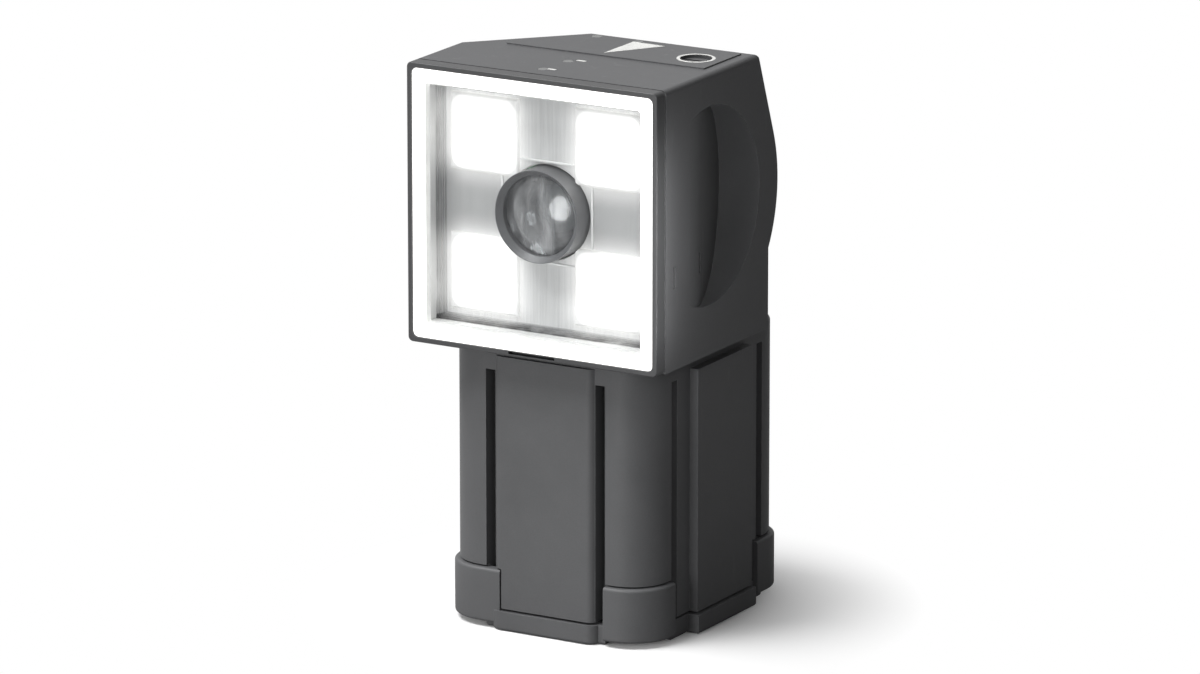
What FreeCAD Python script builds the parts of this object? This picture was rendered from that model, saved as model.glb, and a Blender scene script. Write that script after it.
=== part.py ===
import FreeCAD, Part
import math
import os

# Compact machine vision camera: a square lit head on a grooved column.
# The window looks along -Y, +Z is up, the origin is the centre of the foot.
# "d" values are depths behind the front of the bezel.

# ---- overall sizes ----
HEAD_HALF = 24.3
BODY_DEPTH = 53.2
LENS_Z = 74.0
HEAD_BOTTOM = LENS_Z - HEAD_HALF
HEAD_TOP = LENS_Z + HEAD_HALF
FRONT = -BODY_DEPTH / 2
SLACK = 0.1
OVER = 1.0

# ---- head ----
BEZEL_DEPTH = 3.0
HEAD_WALL_X = 2.2
HEAD_WALL_Z = 2.4
ROLL_D = 17.7
ROLL_RISE = 1.5
ROLL_INSET = 0.8
ROLL_Z = LENS_Z + ROLL_RISE
ROLL_R = HEAD_HALF - ROLL_INSET
ROLL_TOP_DEG = 20.4
BACK_TRIM = 3.1
HEAD_BACK_D = ROLL_D + ROLL_R - BACK_TRIM
HEAD_EDGE_R = 0.9
CUT_SIDE_D = 17.4
CUT_BACK_X = -8.0
CUT_BACK_D = HEAD_BACK_D - BACK_TRIM
POCKET_RIM = 6.3
POCKET_R = ROLL_R - POCKET_RIM
POCKET_DEEP = 8.4
POCKET_FLOOR_X = HEAD_HALF - POCKET_DEEP
POCKET_FRONT_D = 10.0
POCKET_WALL = 1.4
RAMP_R = 18.0
RAMP_DEG = 20.0
RAMP_PROUD = 0.03
SIDE_SLOT_DEPTHS = (5.9, 16.5)
SIDE_SLOT_WIDTH = 0.9
SIDE_SLOT_LOW = 10.2
SIDE_SLOT_LONG = 3.8
SIDE_SLOT_Z = (LENS_Z - SIDE_SLOT_LOW, LENS_Z - SIDE_SLOT_LOW + SIDE_SLOT_LONG)
SIDE_SLOT_DEEP = 1.1
PANEL_RISE = 0.25
PANEL_FRONT_D = 19.7
PANEL_BACK_IN = 5.7
PANEL_D = (PANEL_FRONT_D, HEAD_BACK_D - PANEL_BACK_IN)
PANEL_SIDE_IN = 2.3
PANEL_EDGE_IN = 4.2

LEDGE_HALF = 6.0
LEDGE_DEEP = 1.6
LEDGE_LAP = 1.6

# ---- column ----
POST_INSET = 4.3
POST_HALF_X = HEAD_HALF - POST_INSET
POST_FRONT_D = 4.6
POST_BACK_INSET = 1.4
POST_BACK_D = BODY_DEPTH - POST_BACK_INSET
POST_R = 7.0
NECK_GAP = 0.5
COLUMN_TOP = HEAD_BOTTOM - NECK_GAP
COLUMN_MID_D = (POST_FRONT_D + POST_BACK_D) / 2
SHOULDER_R = 1.0
FRONT_PAD_RISE = 0.8
FRONT_PAD_R = 1.5
SIDE_PAD_HALF = 9.4
SIDE_PAD_RISE = 1.6
SIDE_PAD_DROP = 2.7
SIDE_PAD_TOP = COLUMN_TOP - SIDE_PAD_DROP
SLOT_OUT_X = 10.25
SLOT_OUT_D = 8.0
SLOT_WIDTH = 1.95
SLOT_DEEP = 3.0
SLOT_DROP = 3.7
SLOT_INNER = POST_HALF_X - SLOT_OUT_X
FRONT_PAD_HALF = SLOT_INNER + SLACK
SLOT_TOP = COLUMN_TOP - SLOT_DROP
COLUMN_WALL = 4.8
CAVITY_HALF_X = POST_HALF_X - COLUMN_WALL
CAVITY_FRONT_D = POST_FRONT_D + COLUMN_WALL
CAVITY_BACK_D = POST_BACK_D - COLUMN_WALL
CAVITY_R = 2.0
PANEL_WALL = 2.4
BOSS_IN = 0.6
BOSS_X = CAVITY_HALF_X - BOSS_IN
BOSS_D = (CAVITY_FRONT_D + BOSS_IN, CAVITY_BACK_D - BOSS_IN)
BOSS_R = 3.4
RAIL_IN = 1.8
RAIL_T = 1.8
RAIL_D = (COLUMN_MID_D, COLUMN_MID_D + RAIL_T)
RAIL_LOW = 12.0
RAIL_DROP = 2.2
RAIL_Z = (RAIL_LOW, COLUMN_TOP - RAIL_DROP)

# ---- foot cap ----
FOOT_H = 1.0
CAP_PLATE_T = 2.4
CAP_PLATE = (FOOT_H, FOOT_H + CAP_PLATE_T)
GASKET_T = 0.4
GASKET_LAP = 0.6
HOUSING_BOTTOM = CAP_PLATE[1] + GASKET_T
SKIRT_OUT = 0.6
FOOT_EDGE = 0.6
CLAW_OUT = 0.9
CLAW_IN = 0.9
CLAW_GAP = 0.3
CLAW_EDGE = 0.5
CLAW_TOP = 10.5
CLAW_LAP_X = 1.15
CLAW_LAP_D = 0.85
CLAW_SHY = 0.1
CLAW_LONG_X = SLOT_INNER - CLAW_LAP_X
CLAW_SHORT_X = SLOT_INNER + SLOT_WIDTH + CLAW_SHY / 2
CLAW_LONG_D = SLOT_OUT_D + SLOT_WIDTH + CLAW_LAP_D
CLAW_SHORT_D = SLOT_OUT_D - CLAW_SHY
SCREW_SHANK_R = 1.2
SCREW_HOLE_R = 1.35
SCREW_HEAD_R = 2.2
SCREW_HEAD_H = 1.2
SCREW_SEAT = 1.3
SCREW_DEPTH = 7.0
SCREW_SOCKET_R = 0.9
SCREW_SOCKET_DEEP = 0.6
THREAD_HOLE_R = 1.25

# ---- window, light and reflector ----
RIM = 0.9
FRAME_BAND = 2.4
PANE_LAP = 0.45
GASKET_BAND = 0.95
FRAME_HALF = HEAD_HALF - RIM
FRAME_OPEN_HALF = FRAME_HALF - FRAME_BAND
PANE_HALF = FRAME_OPEN_HALF + PANE_LAP
GLOW_IN_HALF = PANE_HALF - GASKET_BAND
FRAME_FRONT_D = 0.25
FRAME_LIP_D = 0.6
FRAME_EDGE_R = 0.6
PANE_BACK_D = 1.3
FRAME_CORNER_R = 1.0
NOTCH_HALF = 4.5
NOTCH_RISE = 0.3
NOTCH_TALL = 0.55
NOTCH_Z = (HEAD_BOTTOM + NOTCH_RISE, HEAD_BOTTOM + NOTCH_RISE + NOTCH_TALL)
NOTCH_DEEP = 1.2
REFLECTOR_GAP = 0.3
REFLECTOR_HALF = HEAD_HALF - HEAD_WALL_X - REFLECTOR_GAP
REFLECTOR_STEPS = 5
REFLECTOR_STEP_IN = 0.16
REFLECTOR_FLOOR_D = 5.5
REFLECTOR_PLATE = 1.2
REFLECTOR_BACK_D = 10.2
LENS_GAP = 0.3
LED_BOARD_IN = 1.0
LED_BOARD_T = 1.6
LED_BORDER = 1.7
LED_OUT = GLOW_IN_HALF - LED_BORDER
LED_FRONT_D = 4.9
LED_EDGE_R = 0.5
LED_FLANGE = 0.5
LED_FLANGE_T = 0.6
LED_CHIP = 5.0
LED_CHIP_T = 1.0

# ---- lens ----
CARRIAGE_R = 7.0
CARRIAGE_FIT = 0.03
CARRIAGE_FRONT_D = 6.0
CARRIAGE_LONG = 13.0
CARRIAGE_D = (CARRIAGE_FRONT_D, CARRIAGE_FRONT_D + CARRIAGE_LONG)
CARRIAGE_WALL = 1.4
CARRIAGE_LIP = 0.6
CARRIAGE_BORE_R = CARRIAGE_R - CARRIAGE_WALL
CARRIAGE_EYE_R = CARRIAGE_BORE_R - CARRIAGE_LIP
TUBE_WALL = 0.97
TUBE_BORE_R = CARRIAGE_R + CARRIAGE_FIT
TUBE_R = TUBE_BORE_R + TUBE_WALL
TUBE_FRONT_D = 1.6
LED_TUCK = 2.5
LED_IN = TUBE_R - LED_TUCK
COLLAR_OUT = 2.8
COLLAR_T = 1.5
COLLAR_R = TUBE_R + COLLAR_OUT
COLLAR_D = (REFLECTOR_BACK_D + LED_BOARD_T, REFLECTOR_BACK_D + LED_BOARD_T + COLLAR_T)
HOLDER_PLATE_D = 22.0
HOLDER_PLATE_T = 2.0
HOLDER_BACK_D = HOLDER_PLATE_D + HOLDER_PLATE_T
HOLDER_HALF = 11.0
LENS_FRONT_D = 9.5
LENS_FRONT_T = 3.0
LENS_REAR_D = 15.0
LENS_REAR_T = 2.0
LENS_BULGE = 1.1
LENS_SEAT = 0.15

# ---- focus drive ----
GEAR_MODULE = 0.5
GEAR_TEETH = 12
GEAR_PITCH_R = GEAR_MODULE * GEAR_TEETH / 2
GEAR_FOOT = GEAR_MODULE * 5 / 4
GEAR_BACKLASH = 0.16
GEAR_FLANK_DEG = 20.0
FOCUS_IN = 7.1
FOCUS_X = HEAD_HALF - FOCUS_IN
FOCUS_D = 25.5
FOCUS_TRAVEL = 2.0
ARM_IN = 6.6
ARM_T = 1.8
ARM_D = (16.6, 18.6)
ARM_X = (FOCUS_X - ARM_IN, FOCUS_X - ARM_IN + ARM_T)
ARM_HALF_Z = 1.5
ARM_ROOM = 0.2
RACK_T = 1.5
RACK_CLEAR = 0.4
RACK_LAP = 4.9
RACK_TOP = HEAD_TOP - HEAD_WALL_Z - RACK_CLEAR
RACK_Z = (RACK_TOP - RACK_T, RACK_TOP)
RACK_D = (ARM_D[0], FOCUS_D + RACK_LAP)
FOCUS_HEAD_R = 2.45
FOCUS_HEAD_T = 0.9
FOCUS_SEAT_R = 2.8
FOCUS_SEAT_DEEP = 1.1
FOCUS_SHAFT_R = 1.5
FOCUS_FIT = 0.05
FOCUS_SLOT = 0.7
FOCUS_SLOT_DEEP = 0.6
SEAL_R = 2.3
SEAL_T = 0.5

HOLDER_SCREW_AT = 9.2
HOLDER_SCREW_R = 0.9
HOLDER_SCREW_HEAD_R = 1.5
HOLDER_SCREW_HEAD_H = 0.8
HOLDER_SCREW_DEPTH = 1.5

# ---- electronics ----
SENSOR_BOARD_T = 1.4
SENSOR_BOARD_HALF = HOLDER_HALF
SENSOR_HALF = 3.6
SENSOR_T = 1.2
CHASSIS_T = 1.6
CHASSIS_D = (RAIL_D[1], RAIL_D[1] + CHASSIS_T)
CHASSIS_FIT = 0.4
CHASSIS_HALF_X = CAVITY_HALF_X - CHASSIS_FIT
CHASSIS_LOW = 16.0
BOARD_DROP = 3.2
BOARD_TOP = COLUMN_TOP - BOARD_DROP
STANDOFF_R = 1.8
STANDOFF_T = 2.2
BOARD_T = 1.4
BOARD_IN = 1.4
BOARD_LIFT = 2.0
MAIN_BOARD_D = (CHASSIS_D[1] + STANDOFF_T, CHASSIS_D[1] + STANDOFF_T + BOARD_T)
MAIN_BOARD_HALF_X = CHASSIS_HALF_X - BOARD_IN
MAIN_BOARD_Z = (CHASSIS_LOW + BOARD_LIFT, BOARD_TOP)
STANDOFF_IN_X = 2.4
STANDOFF_IN_Z = 3.0
STANDOFF_X = MAIN_BOARD_HALF_X - STANDOFF_IN_X
STANDOFF_Z = (MAIN_BOARD_Z[0] + STANDOFF_IN_Z, MAIN_BOARD_Z[1] - STANDOFF_IN_Z)
BOARD_SCREW_HEAD_H = 0.6
CHIP_T = 1.2
BIG_CHIP_HALF = 6.0
TOP_CHIP_HALF = (5.0, 2.4)
TOP_CHIP_DROP = 4.0
SIDE_CHIP_HALF = (2.0, 3.4)
SIDE_CHIP_IN = 4.0
PAD_T = STANDOFF_T - CHIP_T

# ---- sockets ----
SOCKET_GAP = 0.6
SOCKET_SPREAD = 0.2
SOCKET_FLANGE_R = (CAVITY_BACK_D - CAVITY_FRONT_D) / 4 - SOCKET_GAP
SOCKET_PITCH = (CAVITY_BACK_D - CAVITY_FRONT_D) / 2 + SOCKET_SPREAD
SOCKET_D = (COLUMN_MID_D - SOCKET_PITCH / 2, COLUMN_MID_D + SOCKET_PITCH / 2)
SOCKET_FLANGE = 1.5
SOCKET_WALL = 1.3
SOCKET_FIT = 0.1
SOCKET_R = SOCKET_FLANGE_R - SOCKET_FLANGE
SOCKET_BORE_R = SOCKET_R - SOCKET_WALL
SOCKET_HOLE_R = SOCKET_R + SOCKET_FIT
SOCKET_FLANGE_T = 1.6
SOCKET_MOUTH = 0.4
SOCKET_LONG = 12.2
SOCKET_Z = (SOCKET_MOUTH, SOCKET_MOUTH + SOCKET_LONG)
SOCKET_FLOOR = 9.4
SOCKET_CHAMFER = 0.5
PIN_R = 0.5
PIN_TIP = 5.0
PIN_IN = 2.7
PIN_SHORT_IN = 3.4
POWER_PIN_COUNT = 7
POWER_PIN_TURN = 90
NETWORK_PIN_COUNT = 4
NETWORK_PIN_TURN = 45
IO_BOARD_T = 1.6
IO_BOARD_Z = (SOCKET_Z[1], SOCKET_Z[1] + IO_BOARD_T)
IO_BOARD_IN_X = 2.6
IO_BOARD_IN_D = 4.4
LINK_HALF_X = 8.0
FLEX_HALF_X = 4.0
FLEX_T = 0.3
FLEX_LAP = 4.0

# ---- indicator lights on top ----
LIGHT_R = 0.9
LIGHT_FIT = 0.05
LIGHT_FRONT_D = 6.6
LIGHT_SECOND_D = 13.7
LIGHT_REAR_IN = 0.9
LIGHT_REAR_D = PANEL_D[1] - LIGHT_REAR_IN
LIGHT_SPOTS = ((-1.5, LIGHT_FRONT_D), (-0.8, LIGHT_SECOND_D), (-5.6, LIGHT_REAR_D), (2.5, LIGHT_REAR_D))


def vec(x, y, z):
    return FreeCAD.Vector(x, y, z)


def dep(d):
    """Y of a depth measured from the front of the bezel."""
    return FRONT + d


def block(x_range, d_range, z_range):
    x0, x1 = sorted(x_range)
    d0, d1 = d_range
    z0, z1 = z_range
    return Part.makeBox(x1 - x0, d1 - d0, z1 - z0, vec(x0, dep(d0), z0))


def rod_y(x, z, r, d0, d1):
    return Part.makeCylinder(r, d1 - d0, vec(x, dep(d0), z), vec(0, 1, 0))


def rod_z(x, d, r, z0, z1):
    return Part.makeCylinder(r, z1 - z0, vec(x, dep(d), z0))


def rod_x(d, z, r, x0, x1):
    return Part.makeCylinder(r, x1 - x0, vec(x0, dep(d), z), vec(1, 0, 0))


def polygon_prism(points, direction):
    wire = Part.makePolygon(points + [points[0]])
    return Part.Face(wire).extrude(direction)


def plan_prism(points, z0, z1):
    return polygon_prism([vec(x, dep(d), z0) for x, d in points], vec(0, 0, z1 - z0))


def join(shapes):
    first = shapes[0]
    if len(shapes) == 1:
        return first
    return first.multiFuse(shapes[1:]).removeSplitter()


def less(shape, tools):
    for tool in tools:
        shape = shape.cut(tool)
    return shape.removeSplitter()


def rounded_wire(half_a, half_b, r, place):
    """Rectangle with round corners; place(a, b) gives its points in space."""
    corners = ((1, 1, 0), (-1, 1, 90), (-1, -1, 180), (1, -1, 270))
    edges = []
    ends = []
    for sa, sb, start in corners:
        ca, cb = sa * (half_a - r), sb * (half_b - r)
        pts = []
        for turn in (0, 45, 90):
            angle = math.radians(start + turn)
            pts.append(place(ca + r * math.cos(angle), cb + r * math.sin(angle)))
        edges.append(Part.Arc(*pts).toShape())
        ends.append((pts[0], pts[-1]))
    path = []
    for i in range(len(corners)):
        path.append(edges[i])
        path.append(Part.makeLine(ends[i][1], ends[(i + 1) % len(corners)][0]))
    return Part.Wire(Part.__sortEdges__(path))


def rounded_plan(half_x, d0, d1, r, z0, z1):
    mid, half_d = (d0 + d1) / 2, (d1 - d0) / 2
    wire = rounded_wire(half_x, half_d, r, lambda a, b: vec(a, dep(mid + b), z0))
    return Part.Face(wire).extrude(vec(0, 0, z1 - z0))


def rounded_front(half_x, half_z, r, d0, d1):
    wire = rounded_wire(half_x, half_z, r, lambda a, b: vec(a, dep(d0), LENS_Z + b))
    return Part.Face(wire).extrude(vec(0, d1 - d0, 0))


def square_front(half, d0, d1):
    return block((-half, half), (d0, d1), (LENS_Z - half, LENS_Z + half))


# ---------------------------------------------------------------- housing

def head_outline(inset, d0, top, bottom, back):
    """Side outline of the head: straight front, leaning upper back, round roll."""
    r = ROLL_R - inset
    lean = math.radians(ROLL_TOP_DEG)
    high = (ROLL_D + r * math.cos(lean), ROLL_Z + r * math.sin(lean))
    top_d = high[0] - (top - high[1]) * math.tan(lean)
    drop = math.acos((back - ROLL_D) / r)
    low = (back, ROLL_Z - r * math.sin(drop))
    tip = (ROLL_D + r, ROLL_Z)

    def at(p):
        return vec(0, dep(p[0]), p[1])

    edges = [
        Part.makeLine(at((d0, bottom)), at((d0, top))),
        Part.makeLine(at((d0, top)), at((top_d, top))),
        Part.makeLine(at((top_d, top)), at(high)),
        Part.Arc(at(high), at(tip), at(low)).toShape(),
        Part.makeLine(at(low), at((back, bottom))),
        Part.makeLine(at((back, bottom)), at((d0, bottom))),
    ]
    return Part.Face(Part.Wire(edges))


def head_block(inset, half_x, d0, top, bottom, back):
    face = head_outline(inset, d0, top, bottom, back)
    face.translate(vec(-half_x, 0, 0))
    return face.extrude(vec(2 * half_x, 0, 0))


def corner_cut(shift):
    """Everything beyond the slanted back left corner, moved in by shift."""
    run = vec(CUT_BACK_X + HEAD_HALF, CUT_BACK_D - CUT_SIDE_D, 0)
    run.normalize()
    side = vec(-run.y, run.x, 0)
    start = vec(-HEAD_HALF, CUT_SIDE_D, 0) - side * shift - run * HEAD_HALF
    end = start + run * (4 * HEAD_HALF)
    far = side * 2 * HEAD_HALF
    corners = [start, end, end + far, start + far]
    points = [(p.x, p.y) for p in corners]
    return plan_prism(points, HEAD_BOTTOM - OVER, HEAD_TOP + OVER)


def ramp_face(wall):
    """Plan of the hand hold: rolled edge, sloping ramp and flat floor; wall adds its jacket."""
    r = RAMP_R - wall
    lean = math.radians(RAMP_DEG)
    centre_x = HEAD_HALF - RAMP_R + RAMP_PROUD
    floor_x = POCKET_FLOOR_X - wall
    edge_x = HEAD_HALF + OVER

    def on_roll(angle):
        return vec(centre_x + r * math.cos(angle), dep(POCKET_FRONT_D + r * math.sin(angle)), HEAD_BOTTOM)

    start, end = on_roll(0), on_roll(lean)
    run = (end.x - floor_x) / math.tan(lean)
    corners = [end, vec(floor_x, end.y + run, HEAD_BOTTOM), vec(floor_x, dep(BODY_DEPTH), HEAD_BOTTOM),
               vec(edge_x, dep(BODY_DEPTH), HEAD_BOTTOM), vec(edge_x, start.y, HEAD_BOTTOM), start]
    edges = [Part.makeLine(p, q) for p, q in zip(corners, corners[1:])]
    roll = Part.Arc(start, on_roll(lean / 2), end).toShape()
    return Part.Face(Part.Wire([roll] + edges))


def side_pocket(wall):
    """Round hand hold in the right side, with a ramp at its front; wall adds its jacket."""
    drum = rod_x(ROLL_D, ROLL_Z, POCKET_R + wall, POCKET_FLOOR_X - wall, HEAD_HALF + OVER)
    return drum.common(ramp_face(wall).extrude(vec(0, 0, HEAD_TOP - HEAD_BOTTOM)))


def round_edges(shape, radius, wanted):
    edges = [e for e in shape.Edges if wanted(e.CenterOfMass, e)]
    return shape.makeFillet(radius, edges)


def head_solid():
    body = head_block(0, HEAD_HALF, BEZEL_DEPTH, HEAD_TOP, HEAD_BOTTOM, HEAD_BACK_D)
    body = body.cut(corner_cut(0)).removeSplitter()

    def top_rim(c, edge):
        long_edge = edge.Length > 2 * HEAD_EDGE_R
        return abs(c.z - HEAD_TOP) < SLACK and c.y > dep(BEZEL_DEPTH) + SLACK and long_edge

    body = round_edges(body, HEAD_EDGE_R, top_rim)
    return body.fuse(top_panel()).cut(side_pocket(0))


def top_panel():
    """Slightly raised rear part of the top, following the slanted corner."""
    panel = block((-HEAD_HALF, HEAD_HALF - PANEL_SIDE_IN), PANEL_D, (HEAD_TOP - SLACK, HEAD_TOP + PANEL_RISE))
    return panel.cut(corner_cut(PANEL_EDGE_IN))


def head_cavity():
    top = HEAD_TOP - HEAD_WALL_Z
    bottom = HEAD_BOTTOM + HEAD_WALL_X
    half = HEAD_HALF - HEAD_WALL_X
    hollow = head_block(HEAD_WALL_X, half, BEZEL_DEPTH - OVER, top, bottom, HEAD_BACK_D - HEAD_WALL_X)
    hollow = hollow.cut(corner_cut(HEAD_WALL_X))
    return less(hollow, [side_pocket(POCKET_WALL)] + board_ledges())


def board_ledges():
    """Ribs inside the head that carry the rim of the light board."""
    d = (COLLAR_D[0], COLLAR_D[0] + LEDGE_DEEP)
    edge = HEAD_HALF
    seat = REFLECTOR_HALF - LED_BOARD_IN - LEDGE_LAP
    low = block((-LEDGE_HALF, LEDGE_HALF), d, (LENS_Z - edge, LENS_Z - seat))
    high = block((-LEDGE_HALF, LEDGE_HALF), d, (LENS_Z + seat, LENS_Z + edge))
    left = block((-edge, -seat), d, (LENS_Z - LEDGE_HALF, LENS_Z + LEDGE_HALF))
    return [low, high, left]


def pads(grow, z0, side_top, front_top):
    x_side = POST_HALF_X + SIDE_PAD_RISE + grow
    half_d = SIDE_PAD_HALF + grow
    d_front = POST_FRONT_D - FRONT_PAD_RISE - grow
    d_back = POST_BACK_D + FRONT_PAD_RISE + grow
    half_x = FRONT_PAD_HALF + grow
    side = block((-x_side, x_side), (COLUMN_MID_D - half_d, COLUMN_MID_D + half_d), (z0, side_top))
    front = rounded_plan(half_x, d_front, d_back, FRONT_PAD_R + grow, z0, front_top)
    return [side, front]


def column_slots():
    """Eight narrow grooves, two in each face, open at the bottom."""
    z = (HOUSING_BOTTOM - OVER, SLOT_TOP)
    tools = []
    for sx in (-1, 1):
        xs = (sx * SLOT_INNER, sx * (SLOT_INNER + SLOT_WIDTH))
        tools.append(block(xs, (POST_FRONT_D - OVER, POST_FRONT_D + SLOT_DEEP), z))
        tools.append(block(xs, (POST_BACK_D - SLOT_DEEP, POST_BACK_D + OVER), z))
        deep = (sx * (POST_HALF_X - SLOT_DEEP), sx * (POST_HALF_X + OVER))
        near = POST_FRONT_D + SLOT_OUT_D
        far = POST_BACK_D - SLOT_OUT_D
        tools.append(block(deep, (near, near + SLOT_WIDTH), z))
        tools.append(block(deep, (far - SLOT_WIDTH, far), z))
    return tools


def column_solid():
    post = rounded_plan(POST_HALF_X, POST_FRONT_D, POST_BACK_D, POST_R, HOUSING_BOTTOM, COLUMN_TOP)
    post = round_edges(post, SHOULDER_R, lambda c, e: abs(c.z - COLUMN_TOP) < SLACK)
    neck = block((-POST_HALF_X + POST_R, POST_HALF_X - POST_R), (POST_FRONT_D + SHOULDER_R, HEAD_BACK_D),
                 (COLUMN_TOP - SHOULDER_R, HEAD_BOTTOM))
    wide_neck = block((-POST_HALF_X + SHOULDER_R, POST_HALF_X - SHOULDER_R),
                      (POST_FRONT_D + POST_R, HEAD_BACK_D), (COLUMN_TOP - SHOULDER_R, HEAD_BOTTOM))
    neck_keep = head_block(0, HEAD_HALF, BEZEL_DEPTH, HEAD_TOP, HEAD_BOTTOM - 2 * OVER, HEAD_BACK_D)
    necks = [n.common(neck_keep).cut(corner_cut(0)) for n in (neck, wide_neck)]
    solids = [post] + necks + pads(0, HOUSING_BOTTOM, SIDE_PAD_TOP, COLUMN_TOP - SHOULDER_R)
    return less(join(solids), column_slots())


def boss_rods(r, z0, z1):
    return [rod_z(sx * BOSS_X, d, r, z0, z1) for sx in (-1, 1) for d in BOSS_D]


def column_cavity():
    z0 = HOUSING_BOTTOM - OVER
    z1 = COLUMN_TOP - PANEL_WALL
    core = rounded_plan(CAVITY_HALF_X, CAVITY_FRONT_D, CAVITY_BACK_D, CAVITY_R, z0, z1)
    side_x = POST_HALF_X + SIDE_PAD_RISE - PANEL_WALL
    side_d = SIDE_PAD_HALF - PANEL_WALL
    sides = block((-side_x, side_x), (COLUMN_MID_D - side_d, COLUMN_MID_D + side_d),
                  (z0, SIDE_PAD_TOP - PANEL_WALL))
    front_x = FRONT_PAD_HALF - PANEL_WALL / 2
    fronts = block((-front_x, front_x), (POST_FRONT_D + PANEL_WALL, POST_BACK_D - PANEL_WALL), (z0, z1))
    throat_d = (COLLAR_D[0] + LEDGE_DEEP, HEAD_BACK_D - HEAD_WALL_X)
    throat = block((-CAVITY_HALF_X, CAVITY_HALF_X), throat_d, (z1 - OVER, HEAD_BOTTOM + HEAD_WALL_X + OVER))
    throat = throat.cut(corner_cut(HEAD_WALL_X))
    hollow = join([core, sides, fronts, throat])
    boss_top = HOUSING_BOTTOM + SCREW_DEPTH + PANEL_WALL
    rails = [block((sx * (CAVITY_HALF_X - RAIL_IN), sx * (CAVITY_HALF_X + 2 * PANEL_WALL)), RAIL_D, RAIL_Z)
             for sx in (-1, 1)]
    return less(hollow, boss_rods(BOSS_R, z0, boss_top) + rails)


def claw_zones(grow):
    """Plan areas of the four corner claws: two reach over a groove, two don't."""
    z = (CAP_PLATE[0] - OVER, CLAW_TOP + grow)
    edge = POST_HALF_X + 2 * OVER
    zones = []
    for sx, sd, reach_x, reach_d in (
        (-1, -1, CLAW_LONG_X, CLAW_LONG_D),
        (1, -1, CLAW_SHORT_X, CLAW_SHORT_D),
        (1, 1, CLAW_LONG_X, CLAW_LONG_D),
        (-1, 1, CLAW_SHORT_X, CLAW_SHORT_D),
    ):
        xs = (sx * (reach_x - grow), sx * edge)
        if sd < 0:
            ds = (0, POST_FRONT_D + reach_d + grow)
        else:
            ds = (POST_BACK_D - reach_d - grow, BODY_DEPTH + OVER)
        zones.append(block(xs, ds, z))
    return zones


def claw_ring(out, inn, z0, z1, edge=0):
    outer = rounded_plan(POST_HALF_X + out, POST_FRONT_D - out, POST_BACK_D + out, POST_R + out, z0, z1)
    if edge:
        outer = round_edges(outer, edge, lambda c, e: abs(c.z - z0) < SLACK or abs(c.z - z1) < SLACK)
    inner = rounded_plan(POST_HALF_X - inn, POST_FRONT_D + inn, POST_BACK_D - inn, POST_R - inn,
                         z0 - OVER, z1 + OVER)
    return outer.cut(inner)


def claw_seats():
    ring = claw_ring(2 * OVER, CLAW_IN + CLAW_GAP, HOUSING_BOTTOM - OVER, CLAW_TOP + CLAW_GAP)
    return [ring.common(zone) for zone in claw_zones(CLAW_GAP)]


def pocket_fall(d):
    """How far the rolled edge of the hand hold has fallen in from the side at a depth."""
    run = max(0, d - POCKET_FRONT_D)
    return max(0, RAMP_R - RAMP_PROUD - math.sqrt(RAMP_R ** 2 - run ** 2))


def side_slots():
    """Short upright slots, two in each side; one on the right lies in the ramp."""
    tools = []
    half = SIDE_SLOT_WIDTH / 2
    for sx in (-1, 1):
        for d in SIDE_SLOT_DEPTHS:
            fall = pocket_fall(d) if sx > 0 else 0
            xs = (sx * (HEAD_HALF - fall - SIDE_SLOT_DEEP), sx * (HEAD_HALF + OVER))
            tools.append(block(xs, (d - half, d + half), SIDE_SLOT_Z))
    return tools


def top_details():
    seat = rod_z(FOCUS_X, FOCUS_D, FOCUS_SEAT_R, HEAD_TOP - FOCUS_SEAT_DEEP, HEAD_TOP + OVER)
    seal_z = HEAD_TOP - FOCUS_SEAT_DEEP
    seal = rod_z(FOCUS_X, FOCUS_D, SEAL_R + FOCUS_FIT, seal_z - SEAL_T - FOCUS_FIT, seal_z + OVER)
    hole = rod_z(FOCUS_X, FOCUS_D, FOCUS_SHAFT_R + FOCUS_FIT, HEAD_TOP - 2 * HEAD_WALL_Z, HEAD_TOP)
    spots = [rod_z(x, d, LIGHT_R + LIGHT_FIT, HEAD_TOP - 2 * HEAD_WALL_Z, HEAD_TOP + OVER)
             for x, d in LIGHT_SPOTS]
    return [seat, seal, hole] + spots


def main_housing():
    body = head_solid().fuse(column_solid())
    tools = [head_cavity(), column_cavity()] + claw_seats() + side_slots() + top_details()
    tools += boss_rods(THREAD_HOLE_R, HOUSING_BOTTOM - OVER, HOUSING_BOTTOM + SCREW_DEPTH)
    return less(body, tools)


# ---------------------------------------------------------------- foot cap

def foot_blocks(top):
    """The raised middle of the foot, between the corner claws."""
    half_x = SLOT_INNER + SLOT_WIDTH
    half_d = (POST_BACK_D - POST_FRONT_D) / 2 - SLOT_OUT_D
    wide = block((-half_x, half_x), (POST_FRONT_D, POST_BACK_D), (0, top))
    deep = block((-POST_HALF_X, POST_HALF_X), (COLUMN_MID_D - half_d, COLUMN_MID_D + half_d), (0, top))
    return [wide, deep] + pads(SKIRT_OUT, 0, top, top)


def base_cap():
    z0, z1 = CAP_PLATE
    plate = rounded_plan(POST_HALF_X, POST_FRONT_D, POST_BACK_D, POST_R, z0, z1)
    skirts = pads(SKIRT_OUT, z0, z1, z1)
    foot = [join(foot_blocks(z0))]
    foot = [round_edges(f, FOOT_EDGE, lambda c, e: abs(c.z) < SLACK) for f in foot]
    ring = claw_ring(CLAW_OUT, CLAW_IN, z0, CLAW_TOP, CLAW_EDGE)
    claws = [ring.common(zone) for zone in claw_zones(0)]
    body = join([plate] + skirts + foot + claws)
    tools = [rod_z(0, d, SOCKET_HOLE_R, -OVER, z1 + OVER) for d in SOCKET_D]
    tools += boss_rods(SCREW_HOLE_R, -OVER, z1 + OVER)
    tools += boss_rods(SCREW_HEAD_R + SLACK, -OVER, z0 + SCREW_SEAT)
    return less(body, tools)


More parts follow.
